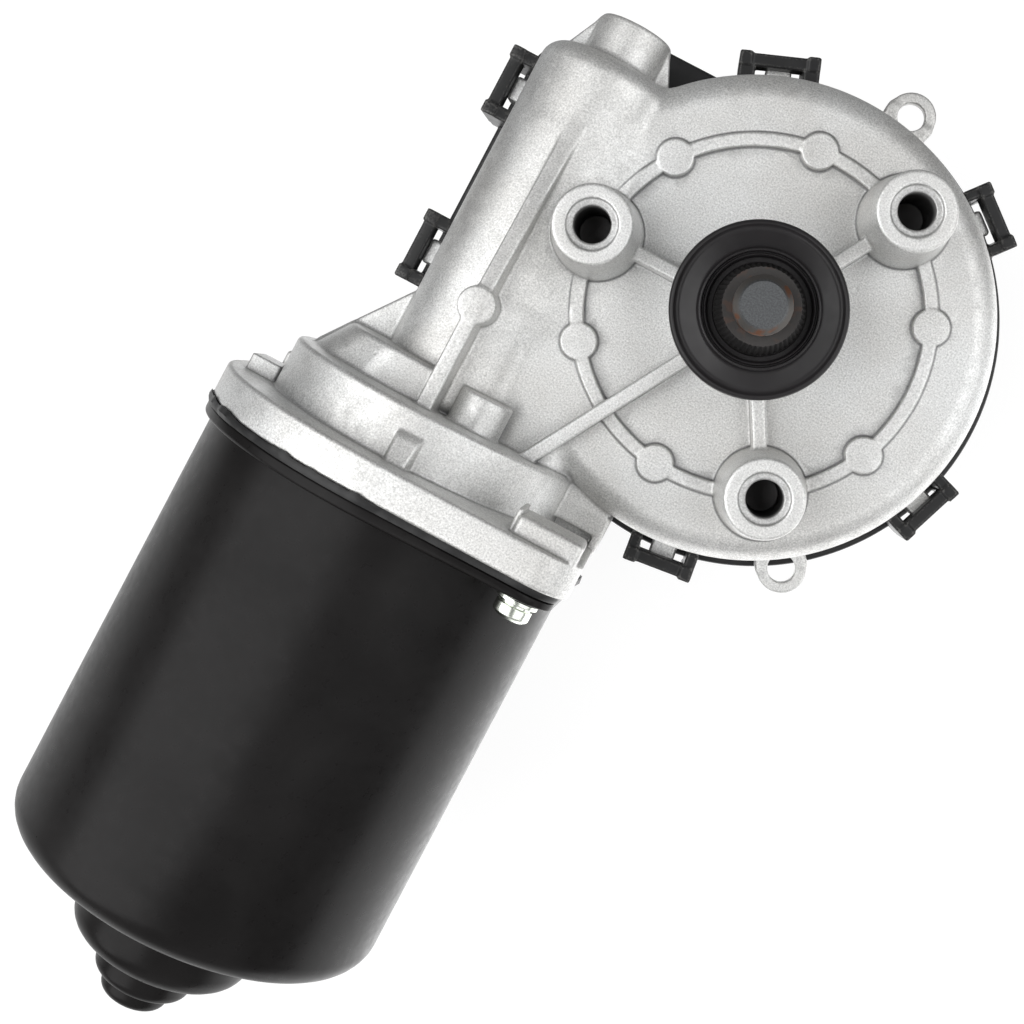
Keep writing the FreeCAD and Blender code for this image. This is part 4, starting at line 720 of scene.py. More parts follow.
def add_case(casting):
    """The round case, its flat shoulder and the side under the tunnel.

    The root beside the tunnel is wide along its middle and fades to both ends.
    """
    low = RIM_Z - BELOW
    side = WORM_X - TUNNEL_RADIUS
    root, end_root, more_root, top_round = 3.0, 1.2, 4.6, 5.5
    front, rear, fade = 22, -26, 8
    shoulder = block((WORM_X - 8, CASE_SIDE, low - BEYOND), (0, TUNNEL_END - 0.9, BEYOND),
                     soft=2.0)
    floor = block((WORM_X, DRUM_FACE - 7, low - BEYOND), (-17, 0, BEYOND), soft=1.2)
    flank = block((side, CASE_SIDE, low), (WORM_X + 4, TUNNEL_END, WORM_Z + 3), soft=3.5)
    tube = rod(WORM_X, WORM_Z, DRUM_FACE - 1, TUNNEL_END, TUNNEL_RADIUS, soft=4.2)

    def case_field(px, py, pz):
        """The disc and shoulder blended, capped at the plateau, then the tunnel."""
        share = np.clip((pz - RIM_Z) / (PLATEAU_Z - RIM_Z), -1, 1)
        disc = np.hypot(px, py) - CASE_RADIUS + CASE_DRAFT * share
        outline = blended(disc, shoulder["field"](px, py, 0.0), root)
        case = softened(outline, pz - PLATEAU_Z, top_round)
        wide = softened(blended(outline, floor["field"](px, py, 0.0), root),
                        pz - PLATEAU_Z, top_round)
        case = np.minimum(case, np.maximum(wide, WORM_Z - pz))
        lower = np.maximum(flank["field"](px, py, pz), pz - WORM_Z)
        tunnel = np.minimum(tube["field"](px, py, pz), lower)
        middle = np.clip((front - py) / fade, 0, 1) * np.clip((py - rear) / fade, 0, 1)
        return blended(case, tunnel, end_root + more_root * middle)

    reach = CASE_RADIUS + 1
    casting.add(shape_of((side, DRUM_FACE - 7, low),
                         (reach, reach, WORM_Z + TUNNEL_RADIUS), case_field))
    casting.cut(block((-200, -200, RIM_Z - 60), (200, 200, RIM_Z), soft=0))
    casting.cut(post(0, 0, RECESS_Z, 40, BOSS_CIRCLE, soft=0.3), 0.3)


def add_neck(casting):
    """The stepped block, gusset and half-round boss where the tunnel meets the drum."""
    back = DRUM_FACE - 2
    face, low, high = -36.0, WORM_Z - 4, WORM_Z + 17.6
    casting.add(faceted((WORM_X - 30, back, WORM_Z - 5), (WORM_X + 2, -35.5, WORM_Z + 19), [
        ((0, face, 0), (0, 1, 0)), ((0, 0, high), (0, 0, 1)),
        ((WORM_X - 10.8, face, high), (-0.5, 0.12, 0.86)),
        ((WORM_X - 17, face, WORM_Z + 14), (-0.80, 0.45, 0.56)),
        ((WORM_X - 22, face, WORM_Z + 2), (-0.80, 0.56, 0.18)),
        ((0, 0, low), (0, 0, -1)), ((WORM_X + 1, 0, 0), (1, 0, 0)),
    ], soft=1.0), 0.5)
    tip = -25.4
    casting.add(faceted((WORM_X - 28, back, WORM_Z - 5), (WORM_X, -25, WORM_Z + 5), [
        ((WORM_X - 14.2, tip, 0), (-11, 8.2, 0)), ((WORM_X - 27, -42, 0), (-1, 0, 0)),
        ((0, 0, WORM_Z + 4), (0, 0, 1)), ((0, 0, low), (0, 0, -1)),
        ((0, tip, 0), (0, 1, 0)),
    ], soft=0.8), 0.7)
    casting.add(rod(WORM_X + 9.0, WORM_Z + 13.0, back, -36.4, 5.2, soft=0.5), 0.45)


def add_drum(casting):
    """The drum, the flange with its two screw pads, and the trim between them."""
    casting.add(rod(WORM_X, WORM_Z, FLANGE_FACE - 4, DRUM_FACE, DRUM_RADIUS, soft=0.9), 0.6)
    middle = (FLANGE_FACE + FLANGE_BACK) / 2

    def flange_field(px, py, pz):
        """The distance outside the eared outline and outside both faces."""
        away = np.hypot(px - WORM_X, pz - WORM_Z)
        turn = np.arctan2(pz - WORM_Z, px - WORM_X)
        across = away - eared_reach(turn, FLANGE_RADIUS, FLANGE_EAR)
        along = np.abs(py - middle) - (FLANGE_FACE - FLANGE_BACK) / 2
        return softened(across, along, 0.7)

    reach = CAN_SCREW_CIRCLE + FLANGE_EAR
    casting.add(shape_of((WORM_X - reach, FLANGE_BACK, WORM_Z - reach),
                         (WORM_X + reach, FLANGE_FACE, WORM_Z + reach), flange_field), 0.5)

    # Square pads over the screws, the right one with a fin at its inner side
    root, half = FLANGE_FACE - 1, 6.2
    for x, z in can_screw_spots():
        casting.add(block((x - half, root, z - half),
                          (x + half, FLANGE_FACE + 3.7, z + half - 1), soft=1.0), 0.3)
    x, z = can_screw_spots()[0]
    casting.add(block((x - 6.9, root, z - 8), (x - 5.9, FLANGE_FACE + 4.3, z + 4),
                      soft=0.35), 0.3)

    # The step beside the drum at the case's side, between the rim and the ear
    edge, low, high = WORM_X + 39.6, RIM_Z + 2.5, WORM_Z + 5
    inner, face = WORM_X + 26, -46.6
    casting.add(block((inner, -51, low), (edge, face, high), soft=0.6), 0.6)
    casting.add(block((edge - 11.2, -47, low), (edge - 0.6, -43.7, high), soft=0.7), 0.6)
    casting.add(block((inner, root, low), (edge, -50, high - 6), soft=0.6))
    casting.add(block((edge - 1.7, root, low), (edge, face, high), soft=0.4), 0.4)

    # A wedge on the drum's crown and a stub at its other side
    crown = WORM_Z + DRUM_RADIUS
    casting.add(faceted((WORM_X - 1.5, root, crown - 4), (WORM_X + 5.5, -46.5, crown + 3), [
        ((WORM_X + 4.4, 0, crown), (1, 0, 0.25)), ((WORM_X - 0.5, 0, crown), (-1, 0, 0.25)),
        ((0, FLANGE_FACE, crown + 2.3), (0, 0.25, 1)), ((0, -47.4, crown), (0, 1, 0.7)),
    ], soft=0.5), 0.35)
    stub = WORM_X - 35.2
    casting.add(block((stub, root, WORM_Z), (stub + 6, FLANGE_FACE + 3.3, WORM_Z + 8),
                      soft=0.3), 0.3)


def add_bosses(casting):
    """The ring rib with its pads, the hub, the spokes and the three bosses."""
    root = RECESS_Z - 2
    spoke_half, spoke_top = 1.35, -11.5
    casting.add(post(0, 0, root, RING_TOP, BOSS_CIRCLE + RING_HALF, soft=0.2), 0.15)
    casting.cut(post(0, 0, RECESS_Z, 0, BOSS_CIRCLE - RING_HALF, soft=0.0), 0.15)
    for x, y in PAD_SPOTS:
        casting.add(post(x, y, root, RING_TOP + 0.2, PAD_RADIUS, soft=0.2), 0.2)
    casting.add(post(0, 0, root, 3.0, 14.9, 12.6, soft=0.8), 0.7)
    for angle, end in [(angle, BOSS_CIRCLE) for angle in BOSS_ANGLES] + [(240, 51.6)]:
        casting.add(block((12, -spoke_half, root), (end, spoke_half, spoke_top),
                          turn=angle, soft=0.4), 0.45)
    for x, y in BOSS_SPOTS:
        casting.add(post(x, y, root, 0, 8.9, 7.3, soft=0.6), 0.6)


def add_long_rib(casting):
    """The tall rib on the tunnel's crown, which runs out to a point, and its pin."""
    low, top, half, flare = WORM_Z + 8, WORM_Z + 20.7, 1.35, 0.03
    slope = (top - WORM_Z - TUNNEL_RADIUS + 0.9) / 40.5
    rib = faceted((WORM_X - 1.5, DRUM_FACE - 2, low), (WORM_X + 1.5, 20.5, top + 1), [
        ((WORM_X + half, 0, 0), (1, 0, flare)), ((WORM_X - half, 0, 0), (-1, 0, flare)),
        ((0, 0, top), (0, 0, 1)), ((0, -21.0, top), (0, slope, 1)),
    ], soft=0.6)
    casting.add(rib, 0.6)
    casting.add(post(WORM_X, -22.2, low, top, 3.6, soft=0.5), 0.45)


def add_thrust_end(casting):
    """The boss for the thrust screw, held by a thin web at each side."""
    half, side, end = 1.1, 7.6, 37.8
    casting.add(rod(WORM_X, WORM_Z, TUNNEL_END - 4, 38.9, 7.4, soft=0.7), 1.6)
    casting.add(faceted((WORM_X - 12, TUNNEL_END - 3, WORM_Z - half),
                        (WORM_X + 12, 38.2, WORM_Z + half), [
        ((0, 0, WORM_Z + half), (0, 0, 1)), ((0, 0, WORM_Z - half), (0, 0, -1)),
        ((WORM_X + side, end, 0), (7, 3.4, 0)), ((WORM_X - side, end, 0), (-7, 3.4, 0)),
        ((0, 37.9, 0), (0, 1, 0)),
    ], soft=0.5), 1.0)


def add_rim(casting):
    """The two holed ears on the rim and the wedges that the latches hold."""
    thick, half = 2.5, 4.9
    for reach, angle in EARS:
        x, y = on_circle(reach, angle)
        casting.add(post(x, y, RIM_Z, RIM_Z + thick, 5.0, soft=0.4), 0.6)
        casting.add(block((44, -half, RIM_Z), (reach, half, RIM_Z + thick),
                          turn=angle, soft=0.4), 1.6)
    wedge = 2.6
    catches = [(angle, CASE_RADIUS, 0) for angle in CATCH_ANGLES]
    catches += [(180, TUNNEL_RADIUS - WORM_X, -shift) for shift in CATCH_SHIFTS]
    for angle, wall, shift in catches:
        casting.add(block((wall - 1.5, shift - wedge, RIM_Z + 2),
                          (wall + 3.8, shift + wedge, RIM_Z + 7),
                          turn=angle, soft=0.7), 0.5)


def hollow_out(casting):
    """The gear's room, the rooms and seats along the worm's axis, and the holes."""
    low = RIM_Z - 4
    casting.cut(post(0, 0, low, -20.7, CASE_RADIUS - CASE_WALL, soft=0.5))
    casting.cut(block((WORM_X - TUNNEL_RADIUS + CASE_WALL, CASE_SIDE + CASE_WALL, low),
                      (0, TUNNEL_END - CASE_WALL - 5, WORM_Z), soft=0.5))
    for start, end, radius, soft in (
        (-38.8, 22.0, 9.5, 0.2),      # room for the worm
        (-46.1, -38.8, 11.0, 0.0),    # seat of the drum bearing
        (-70, -46.1, 26.6, 0.3),      # room for the brush gear
        (19.5, 28.5, 5.6, 0.0),       # seat of the worm bush
    ):
        casting.cut(rod(WORM_X, WORM_Z, start, end, radius, soft=soft))
    casting.cut(rod(WORM_X, WORM_Z, 1.0, 45.0, 4.0, soft=0.0), 0.3)
    casting.cut(post(0, 0, -25, 6, 10.08, soft=0.0))
    for x, y in BOSS_SPOTS:
        casting.cut(post(x, y, -15, 4, 3.35, soft=0.0), 0.1)
        casting.cut(post(x, y, -0.55, 0.6, 4.6, 4.9, soft=0.0), 0.1)
    for reach, angle in EARS:
        x, y = on_circle(reach, angle)
        casting.cut(post(x, y, RIM_Z - 3, RIM_Z + 6, 2.8, soft=0.0), 0.3)
    for x, z in can_screw_spots():
        casting.cut(rod(x, z, FLANGE_BACK - 3, FLANGE_FACE - 2, 2.5, soft=0.0))


CAST_STEP = 0.34
CAST_SPARE = 1.2


def casting_round(node):
    """An empty casting a little larger than a CAD node's box."""
    low, high = [np.array(corner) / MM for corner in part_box(node)]
    return Casting(low - CAST_SPARE, high + CAST_SPARE, CAST_STEP)


cast_alloy()
housing = casting_round("gear_housing")
for step in (add_case, add_neck, add_drum, add_bosses, add_long_rib, add_thrust_end,
             add_rim, hollow_out):
    step(housing)
placed("gear_housing_cast", cast_mesh("gear_housing", housing, 190000),
       "casing", "cast_alloy", ["gear_housing"])


# Bushes, bearing and seal
# Sintered bronze bushes and a steel bearing are pressed into the casting, with a
# lip seal over the output and a screw with a plastic pad to set the worm's play.

def moulding(slot, colour, roughness, grain_size, depth, **values):
    """A moulded or painted skin: one colour, slow clouds and a fine grain."""
    tree, shader = finish(slot, Roughness=roughness, **values)
    grain = shared(tree, GRAIN, grain_size)
    clouds = shared(tree, CLOUDS, 18.0)
    pale = tuple(min(part * 1.35 + 0.004, 1.0) for part in colour)
    tint = mixed(tree, ramp(tree, clouds.outputs["Clouds"], 0.3, 0.7), colour, pale)
    tree.links.new(tint, shader.inputs["Base Color"])
    rough = ramp(tree, clouds.outputs["Specks"], 0.3, 0.7, roughness * 0.88,
                 roughness * 1.14)
    tree.links.new(rough, shader.inputs["Roughness"])
    tree.links.new(bumped(tree, grain.outputs["Height"], depth), shader.inputs["Normal"])
    return tree, shader, tint


moulding("bronze", (0.46, 0.30, 0.15), 0.48, 0.4, 0.03, Metallic=1.0)
moulding("plain_steel", (0.42, 0.42, 0.43), 0.30, 0.7, 0.008, Metallic=1.0)
moulding("sealing_rubber", (0.007, 0.007, 0.0075), 0.42, 0.8, 0.03,
         Specular_IOR_Level=0.4)
moulding("insulating_plastic", (0.09, 0.19, 0.11), 0.45, 0.7, 0.01)
clad("bronze", "worm_bush", "lower_output_bush", "upper_output_bush")
clad("plain_steel", "drum_bearing", "thrust_screw")
clad("sealing_rubber", "shaft_seal")
clad("insulating_plastic", "thrust_pad")


# Worm wheel
# A pale plastic wheel moulded on the output shaft, with a stamped brass disc on
# its face for parking, held between a steel washer and a ring in its groove.

moulding("wheel_plastic", (0.78, 0.75, 0.66), 0.4, 0.8, 0.01,
         Subsurface_Weight=0.2, Subsurface_Scale=0.002)
moulding("contact_brass", (0.72, 0.53, 0.22), 0.28, 0.9, 0.008, Metallic=1.0)
clad("wheel_plastic", "worm_wheel")
clad("contact_brass", "park_disc")
clad("plain_steel", "thrust_washer", "retaining_ring")


# Contact plate
# A resin-bonded board in the cover that carries springy brass contacts for the
# park disc and the blades of the connector.

moulding("circuit_board", (0.26, 0.14, 0.055), 0.5, 0.6, 0.01)
clad("circuit_board", "contact_plate")
clad("contact_brass", "park_contacts", "connector_terminals")


# Gear cover
# A black plastic moulding that closes the case from below over a rubber seal. Six
# springy loops reach up its rim and snap over the casting's wedges, and the
# vehicle's plug goes into the box beside the tunnel.

COVER_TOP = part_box("cover_seal")[0].z / MM
COVER_LOW = COVER_TOP - 5.5
COVER_OVERHANG = 3.4
COVER_WALL = 3.6
COVER_FLOOR = 2.4
LATCH_HALVES = (8.0, 6.9, 7.0, 7.0)    # half the widths of the loops round the case
LATCH_SHIFTS = (0, 1.0, 0, 0)          # how much further out they stand
LATCH_HALF = 7.4                       # and of the two along the tunnel
LATCH_REACH = 5.7
LATCH_BAR = 2.6
PLUG_HALF = 12.0                       # half the width of the connector's box
PLUG_DEPTH = 13.0
PLUG_WALL = 1.8


def pale_edged_moulding(slot, colour, roughness, grain_size, depth, pale_tone, **values):
    """A moulding that turns a paler colour in specks along its edges."""
    tree, shader, tint = moulding(slot, colour, roughness, grain_size, depth, **values)
    clouds = shared(tree, CLOUDS, 4.0)
    # Paler in specks where the edge value is high.
    pale_edge_share = worked(tree, "MULTIPLY", ramp(tree, painted(tree, "edge"), 0.25, 0.8),
                    ramp(tree, clouds.outputs["Specks"], 0.42, 0.62))
    tree.links.new(mixed(tree, pale_edge_share, tint, pale_tone), shader.inputs["Base Color"])


def rim_shape(grow, low, high, soft, corner, beyond=0.0):
    """The case's outline in plan, grown outwards, with rounded corners.

    The disc sits a little towards the open side, as its moulding does.
    """
    side = WORM_X - TUNNEL_RADIUS - 0.4 * beyond
    shift_x, shift_y = 0.7, 0.8
    flank = block((side - grow, CASE_SIDE - grow, low - BEYOND),
                  (0, TUNNEL_END + grow + beyond, high + BEYOND), soft=corner)

    def field(px, py, pz):
        disc = np.hypot(px - shift_x, py - shift_y) - CASE_RADIUS - grow
        outline = np.minimum(disc, flank["field"](px, py, (low + high) / 2))
        return softened(outline, np.abs(pz - (low + high) / 2) - (high - low) / 2, soft)

    reach = CASE_RADIUS + grow + 1
    return shape_of((side - grow, -reach, low), (reach, reach, high), field)


def add_latch(cover, angle, wall, shift, half):
    """One loop: two legs that rise from the rim and a bar with thick ends."""
    top, low, outer = RIM_Z + 10.0, COVER_LOW + 1.0, wall + LATCH_REACH
    opening, thicker = 4.7, 0.35
    for side in (-1, 1):
        ends = sorted((side * opening + shift, side * half + shift))
        cover.add(block((wall + 0.3, ends[0], low), (outer, ends[1], top),
                        turn=angle, soft=0.35))
        ends = sorted((side * (half - LATCH_BAR) + shift, side * half + shift))
        cover.add(block((outer - LATCH_BAR, ends[0], low + 3),
                        (outer + thicker, ends[1], top + thicker), turn=angle, soft=0.3))
    cover.add(block((outer - LATCH_BAR, -half + shift, top - 4.5),
                    (outer, half + shift, top), turn=angle, soft=0.35))


def add_plug_box(cover):
    """The connector's box beside the tunnel's end, open away from the can."""
    middle = WORM_X + 6
    low = COVER_TOP - PLUG_DEPTH
    inner = PLUG_HALF - PLUG_WALL
    cover.add(block((middle - PLUG_HALF, 21, low), (middle + PLUG_HALF, 41.2, COVER_TOP),
                    soft=0.6))
    cover.cut(block((middle - inner, 25, low + PLUG_WALL),
                    (middle + inner, 44, COVER_TOP - PLUG_WALL), soft=0.3))


pale_edged_moulding("cover_plastic", (0.012, 0.012, 0.0125), 0.38, 0.5, 0.012,
                 (0.38, 0.37, 0.35), Specular_IOR_Level=0.35)
clad("sealing_rubber", "cover_seal")
cover = casting_round("gear_cover")
cover.add(rim_shape(COVER_OVERHANG, COVER_LOW, COVER_TOP, 0.8, 10.0, 1.6))
cover.cut(rim_shape(-COVER_WALL, COVER_LOW + COVER_FLOOR, COVER_TOP + 3, 0.5, 0.5))
for angle, half, out in zip(CATCH_ANGLES, LATCH_HALVES, LATCH_SHIFTS):
    add_latch(cover, angle, CASE_RADIUS + out, 0, half)
for shift in CATCH_SHIFTS:
    add_latch(cover, 180, TUNNEL_RADIUS - WORM_X + 0.6, -shift, LATCH_HALF)
add_plug_box(cover)
for angle in (30, 150, 270):
    x, y = on_circle(26.0, angle)
    cover.add(post(x, y, COVER_LOW + 2, COVER_LOW + 6.7, 2.5, soft=0.2))
cover.cut(rod(WORM_X, WORM_Z, -100, DRUM_FACE + 0.3, DRUM_RADIUS))
placed("gear_cover_moulded", cast_mesh("gear_cover", cover, 120000),
       "casing", "cover_plastic", ["gear_cover"])


# Brush gear
# Three carbon brushes in folded brass boxes, pushed in by steel springs, on a
# resin-bonded plate in the drum, with two copper chokes in their leads.

moulding("brush_carbon", (0.035, 0.035, 0.037), 0.6, 0.4, 0.02)
moulding("copper", (0.66, 0.26, 0.11), 0.32, 0.8, 0.05, Metallic=1.0)
clad("circuit_board", "brush_plate")
clad("brush_carbon", "carbon_brushes")
clad("contact_brass", "brush_boxes")
clad("plain_steel", "brush_springs")
clad("copper", "choke_coils")


# Armature
# A steel shaft with the worm rolled on its end, a core of stacked iron sheets
# wound with enamelled copper, and the commutator that the brushes run on.

moulding("core_steel", (0.25, 0.25, 0.26), 0.45, 0.5, 0.02, Metallic=1.0)
clad("plain_steel", "armature_shaft")
clad("core_steel", "armature_core")
clad("copper", "armature_windings", "commutator")
clad("insulating_plastic", "shaft_insulators")


# Motor can
# Deep-drawn steel with satin black paint: a flange with two screw ears, a long
# cylinder, and a nose that steps down in three rounds to the rear bush. Two
# ferrite magnets are held inside it.

moulding("ferrite", (0.06, 0.06, 0.062), 0.75, 0.4, 0.04)
clad("ferrite", "field_magnets")
clad("bronze", "rear_bush")
moulding("can_paint", (0.0078, 0.0071, 0.0071), 0.30, 0.7, 0.004,
         Specular_IOR_Level=0.12)

ROUND = 256
can_low, can_high = [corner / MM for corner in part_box("motor_can")]
CAN_FRONT = can_high.y
CAN_BODY = CAN_FRONT - 2.2
CAN_RADIUS = 37.5
CAN_BORE = 35.2
CAN_EAR = 6.0
CAN_TIP = can_low.y
CAN_NOSE_END = CAN_TIP + 3.8
CAN_STEP_END = CAN_NOSE_END + 6.7
CAN_END = CAN_STEP_END + 15.3
NOSE_RADII = (18.2, 9.8, 6.8)
AXIS_GAP = 0.5    # the last ring's radius, before a run closes in its end point


def rounded_corners(corners, bands=8):
    """A run of points with its corners rounded.

    Each corner is (distance from axis, place along it, round). A round starts
    and ends where a circle of that radius touches both sides.
    """
    points = [np.array(corner[:2], float) for corner in corners]
    result = []
    for index, corner in enumerate(corners):
        size = corner[2] if len(corner) > 2 else 0
        if not size:
            result.append(points[index])
            continue
        here = points[index]
        back = points[index - 1] - here
        ahead = points[(index + 1) % len(points)] - here
        back /= np.linalg.norm(back)
        ahead /= np.linalg.norm(ahead)
        half = math.acos(float(np.clip(back @ ahead, -1, 1))) / 2
        way = (back + ahead) / np.linalg.norm(back + ahead)
        centre = here + way * size / math.sin(half)
        first = here + back * size / math.tan(half) - centre
        last = here + ahead * size / math.tan(half) - centre
        sweep = math.pi - 2 * half
        for step in range(bands + 1):
            share = step / bands
            spot = (math.sin(sweep * (1 - share)) * first
                    + math.sin(sweep * share) * last) / math.sin(sweep)
            result.append(centre + spot)
    return np.array(result)


def revolved(name, reach, along, place, closed=False):
    """A mesh from rows of rings round an axis.

    The arrays hold each point's distance from the axis and place along it, one
    row per ring. The ends of an open run lie on the axis and close in one point
    each, and a closed run's last ring joins its first. If the faces enclose a
    negative volume, all of them are turned over.
    """
    rows, count = reach.shape
    ring = np.arange(count)
    turn = ring * math.tau / count
    across = np.stack([reach * np.cos(turn), reach * np.sin(turn), along], 2)
    points = [place(across.reshape(-1, 3))]
    row = np.arange(rows if closed else rows - 1)[:, None] * count
    after = (row + count) % (rows * count)
    ahead = np.roll(ring, -1)
    quads = np.stack([row + ring, row + ahead, after + ahead, after + ring], 2)
    quads = quads.reshape(-1, 4)
    fans = np.zeros((0, 3), int)
    if not closed:
        for hub, (end, way) in enumerate(((0, -1), (rows - 1, 1))):
            points.append(place(np.array([[0, 0, along[end].mean()]])))
            fan = np.stack([end * count + ring, end * count + ahead,
                            np.full(count, rows * count + hub)], 1)
            fans = np.concatenate([fans, fan[:, ::way]])
    points = np.concatenate(points)
    one, two, three = points[np.concatenate([quads[:, :3], fans])].transpose(1, 0, 2)
    if (one * np.cross(two, three)).sum() < 0:
        quads, fans = quads[:, ::-1], fans[:, ::-1]
    mesh = bpy.data.meshes.new(name)
    mesh.from_pydata((points * MM).tolist(), [], quads.tolist() + fans.tolist())
    mesh.validate()
    mesh.shade_smooth()
    mesh.set_sharp_from_angle(angle=math.radians(35))
    return mesh


def lathed(name, profile, count, place, closed=False):
    """A mesh from one profile carried round an axis."""
    reach = np.repeat(profile[:, :1], count, 1)
    along = np.repeat(profile[:, 1:], count, 1)
    return revolved(name, reach, along, place, closed)


def along_can(points):
    """Places about the worm's axis: a point's last coordinate runs along Y."""
    return np.stack([WORM_X + points[:, 0], points[:, 2], WORM_Z + points[:, 1]], 1)


def make_can():
    """The profile of the drawn cup, inside and outside, carried round its axis.

    The flange's rings grow from the body's round to the eared outline.
    """
    shoulder, step, nose = NOSE_RADII
    wall, nose_wall, nose_bore = 2.3, 2.5, 8.2
    outside = rounded_corners([
        (CAN_BORE, CAN_FRONT, 0.2), (FLANGE_RADIUS, CAN_FRONT, 0.4),
        (FLANGE_RADIUS, CAN_BODY, 0.7), (CAN_RADIUS + 0.05, CAN_BODY),
        (CAN_RADIUS, CAN_BODY - 0.4), (CAN_RADIUS, CAN_END, 5.5),
        (shoulder, CAN_END, 0.8), (shoulder, CAN_STEP_END, 4.5),
        (step, CAN_STEP_END, 0.6), (step, CAN_NOSE_END, 2.0),
        (nose, CAN_NOSE_END, 0.4), (nose, CAN_TIP, 2.0), (AXIS_GAP, CAN_TIP),
    ])
    inside = rounded_corners([
        (AXIS_GAP, CAN_STEP_END - nose_wall), (nose_bore, CAN_STEP_END - nose_wall),
        (nose_bore, CAN_END + wall), (CAN_BORE, CAN_END + wall, 4.0),
        (CAN_BORE, CAN_FRONT - 1),
    ])
    profile = np.vstack([inside, outside])
    reach = np.repeat(profile[:, :1], ROUND, 1)
    along = np.repeat(profile[:, 1:], ROUND, 1)
    wide = eared_reach(np.arange(ROUND) * math.tau / ROUND, FLANGE_RADIUS, CAN_EAR)
    share = (reach - CAN_RADIUS) / (FLANGE_RADIUS - CAN_RADIUS)
    flange = (reach > CAN_RADIUS + 0.3) & (along > CAN_BODY - 0.1)
    reach = np.where(flange, CAN_RADIUS + (wide - CAN_RADIUS) * share, reach)
    return revolved("motor_can", reach, along, along_can)


placed("motor_can_drawn", make_can(), "casing", "can_paint", ["motor_can"])


# Can gasket
# Black sealing compound between the two flanges, squeezed out unevenly.

SQUEEZE = ((3, 0.12, 0.4), (7, 0.13, 2.0), (16, 0.10, 1.1), (29, 0.09, 0.3),
           (47, 0.06, 4.0), (83, 0.05, 2.5))    # waves round it, height, start


def make_gasket():
    """Rings round the flange's outline, pushed out by a sum of sine waves.

    Each row is how far it stands out, its place along the can and its share of
    the waves. The first and last rings close the gasket on the can's bore.
    """
    angles = np.arange(ROUND) * math.tau / ROUND
    bulge = sum(size * np.sin(waves * angles + start) for waves, size, start in SQUEEZE)
    outline = eared_reach(angles, FLANGE_RADIUS, CAN_EAR) - 0.1
    front, back, bore = FLANGE_BACK, CAN_FRONT, CAN_BORE + 0.2
    rows = [(0, front, 0), (0, front, 0), (0.35, front + 0.3, 1),
            (0.5, front - 0.5, 1), (0.2, back, 0.5), (0, back, 0)]
    reach = np.array([outline + out + bulge * share for out, _, share in rows])
    reach[[0, -1]] = bore
    along = np.array([np.full(ROUND, spot) for _, spot, _ in rows])
    along[2] += np.maximum(bulge - 0.08, -0.1) * 1.8
    return revolved("can_gasket", reach, along, along_can, closed=True)


placed("can_gasket_squeezed", make_gasket(), "casing", "sealing_rubber", ["can_gasket"])


# Can screws
# Zinc-plated screws with a pressed washer under the head, driven from the can's
# side into the cast ears.

SCREW_SHANK = 2.4
SCREW_HEAD = 3.4
SCREW_WASHER = 3.9
moulding("zinc_steel", (0.66, 0.69, 0.63), 0.22, 1.2, 0.01, Metallic=1.0)


def make_screw(x, z):
    """Half the outline from the head's top to the shank's end, carried round."""
    face, hollow, neck = CAN_BODY, 0.4, SCREW_HEAD - 0.5
    profile = rounded_corners([
        (hollow, face - 3.9), (2.5, face - 3.9, 1.0), (SCREW_HEAD, face - 3.2, 0.5),
        (SCREW_HEAD, face - 1.4, 0.2), (neck, face - 1.3), (neck, face - 0.85),
        (SCREW_WASHER, face - 0.8, 0.15), (SCREW_WASHER, face, 0.1),
        (SCREW_SHANK, face), (SCREW_SHANK, face + 12), (hollow, face + 12),
    ], 5)

    def at_ear(points):
        """Places about the screw's own axis, along Y."""
        return np.stack([x + points[:, 0], points[:, 2], z + points[:, 1]], 1)

    return lathed("can_screw", profile, 64, at_ear)


for side, spot, replaced in zip(("right", "left"), can_screw_spots(), (["can_screws"], [])):
    placed("can_screw_" + side, make_screw(*spot), "casing", "zinc_steel", replaced)


# Output shaft
# Hardened steel that the crank is pressed on: a cone with fine serrations, then
# the thread for its nut. Both are worked on one shaft from the hub upwards.

SHAFT_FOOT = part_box("output_shaft")[0].z / MM
SHAFT_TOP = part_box("output_shaft")[1].z / MM
JOURNAL = 8.0
CONE_LOW, CONE_HIGH = 6.5, 14.5
CONE_TAPER = 1.3
SERRATIONS = 50
SERRATION_DEPTH = 0.32
THREAD_TOP = SHAFT_TOP - 1.2
THREAD_RADIUS = 5.0
THREAD_DEPTH = 0.42
THREAD_PITCH = 1.5


def upright(points):
    """Places about the output's axis, which is the frame's own Z."""
    return points


def shaft_steel():
    """Dark phosphate coat with a grey tip and patches of rust below it."""
    tree, shader = finish("phosphate_steel", Metallic=0.85, Roughness=0.5)
    grain = shared(tree, GRAIN, 0.5)
    clouds = shared(tree, CLOUDS, 2.6)
    height = height_of(tree)
    tip = ramp(tree, height, (SHAFT_TOP - 0.6) * MM, (SHAFT_TOP - 0.1) * MM)
    cone = ramp(tree, height, 14.4 * MM, 14.8 * MM)
    tint = mixed(tree, cone, (0.050, 0.048, 0.048), (0.105, 0.098, 0.092))
    rust = worked(tree, "MULTIPLY", ramp(tree, clouds.outputs["Clouds"], 0.53, 0.62), cone)
    tint = mixed(tree, rust, tint, (0.16, 0.075, 0.045))
    pale_tone = mixed(tree, ramp(tree, clouds.outputs["Specks"], 0.35, 0.65),
                 (0.085, 0.088, 0.092), (0.125, 0.13, 0.135))
    tree.links.new(mixed(tree, tip, tint, pale_tone), shader.inputs["Base Color"])
    tree.links.new(bumped(tree, grain.outputs["Height"], 0.03), shader.inputs["Normal"])


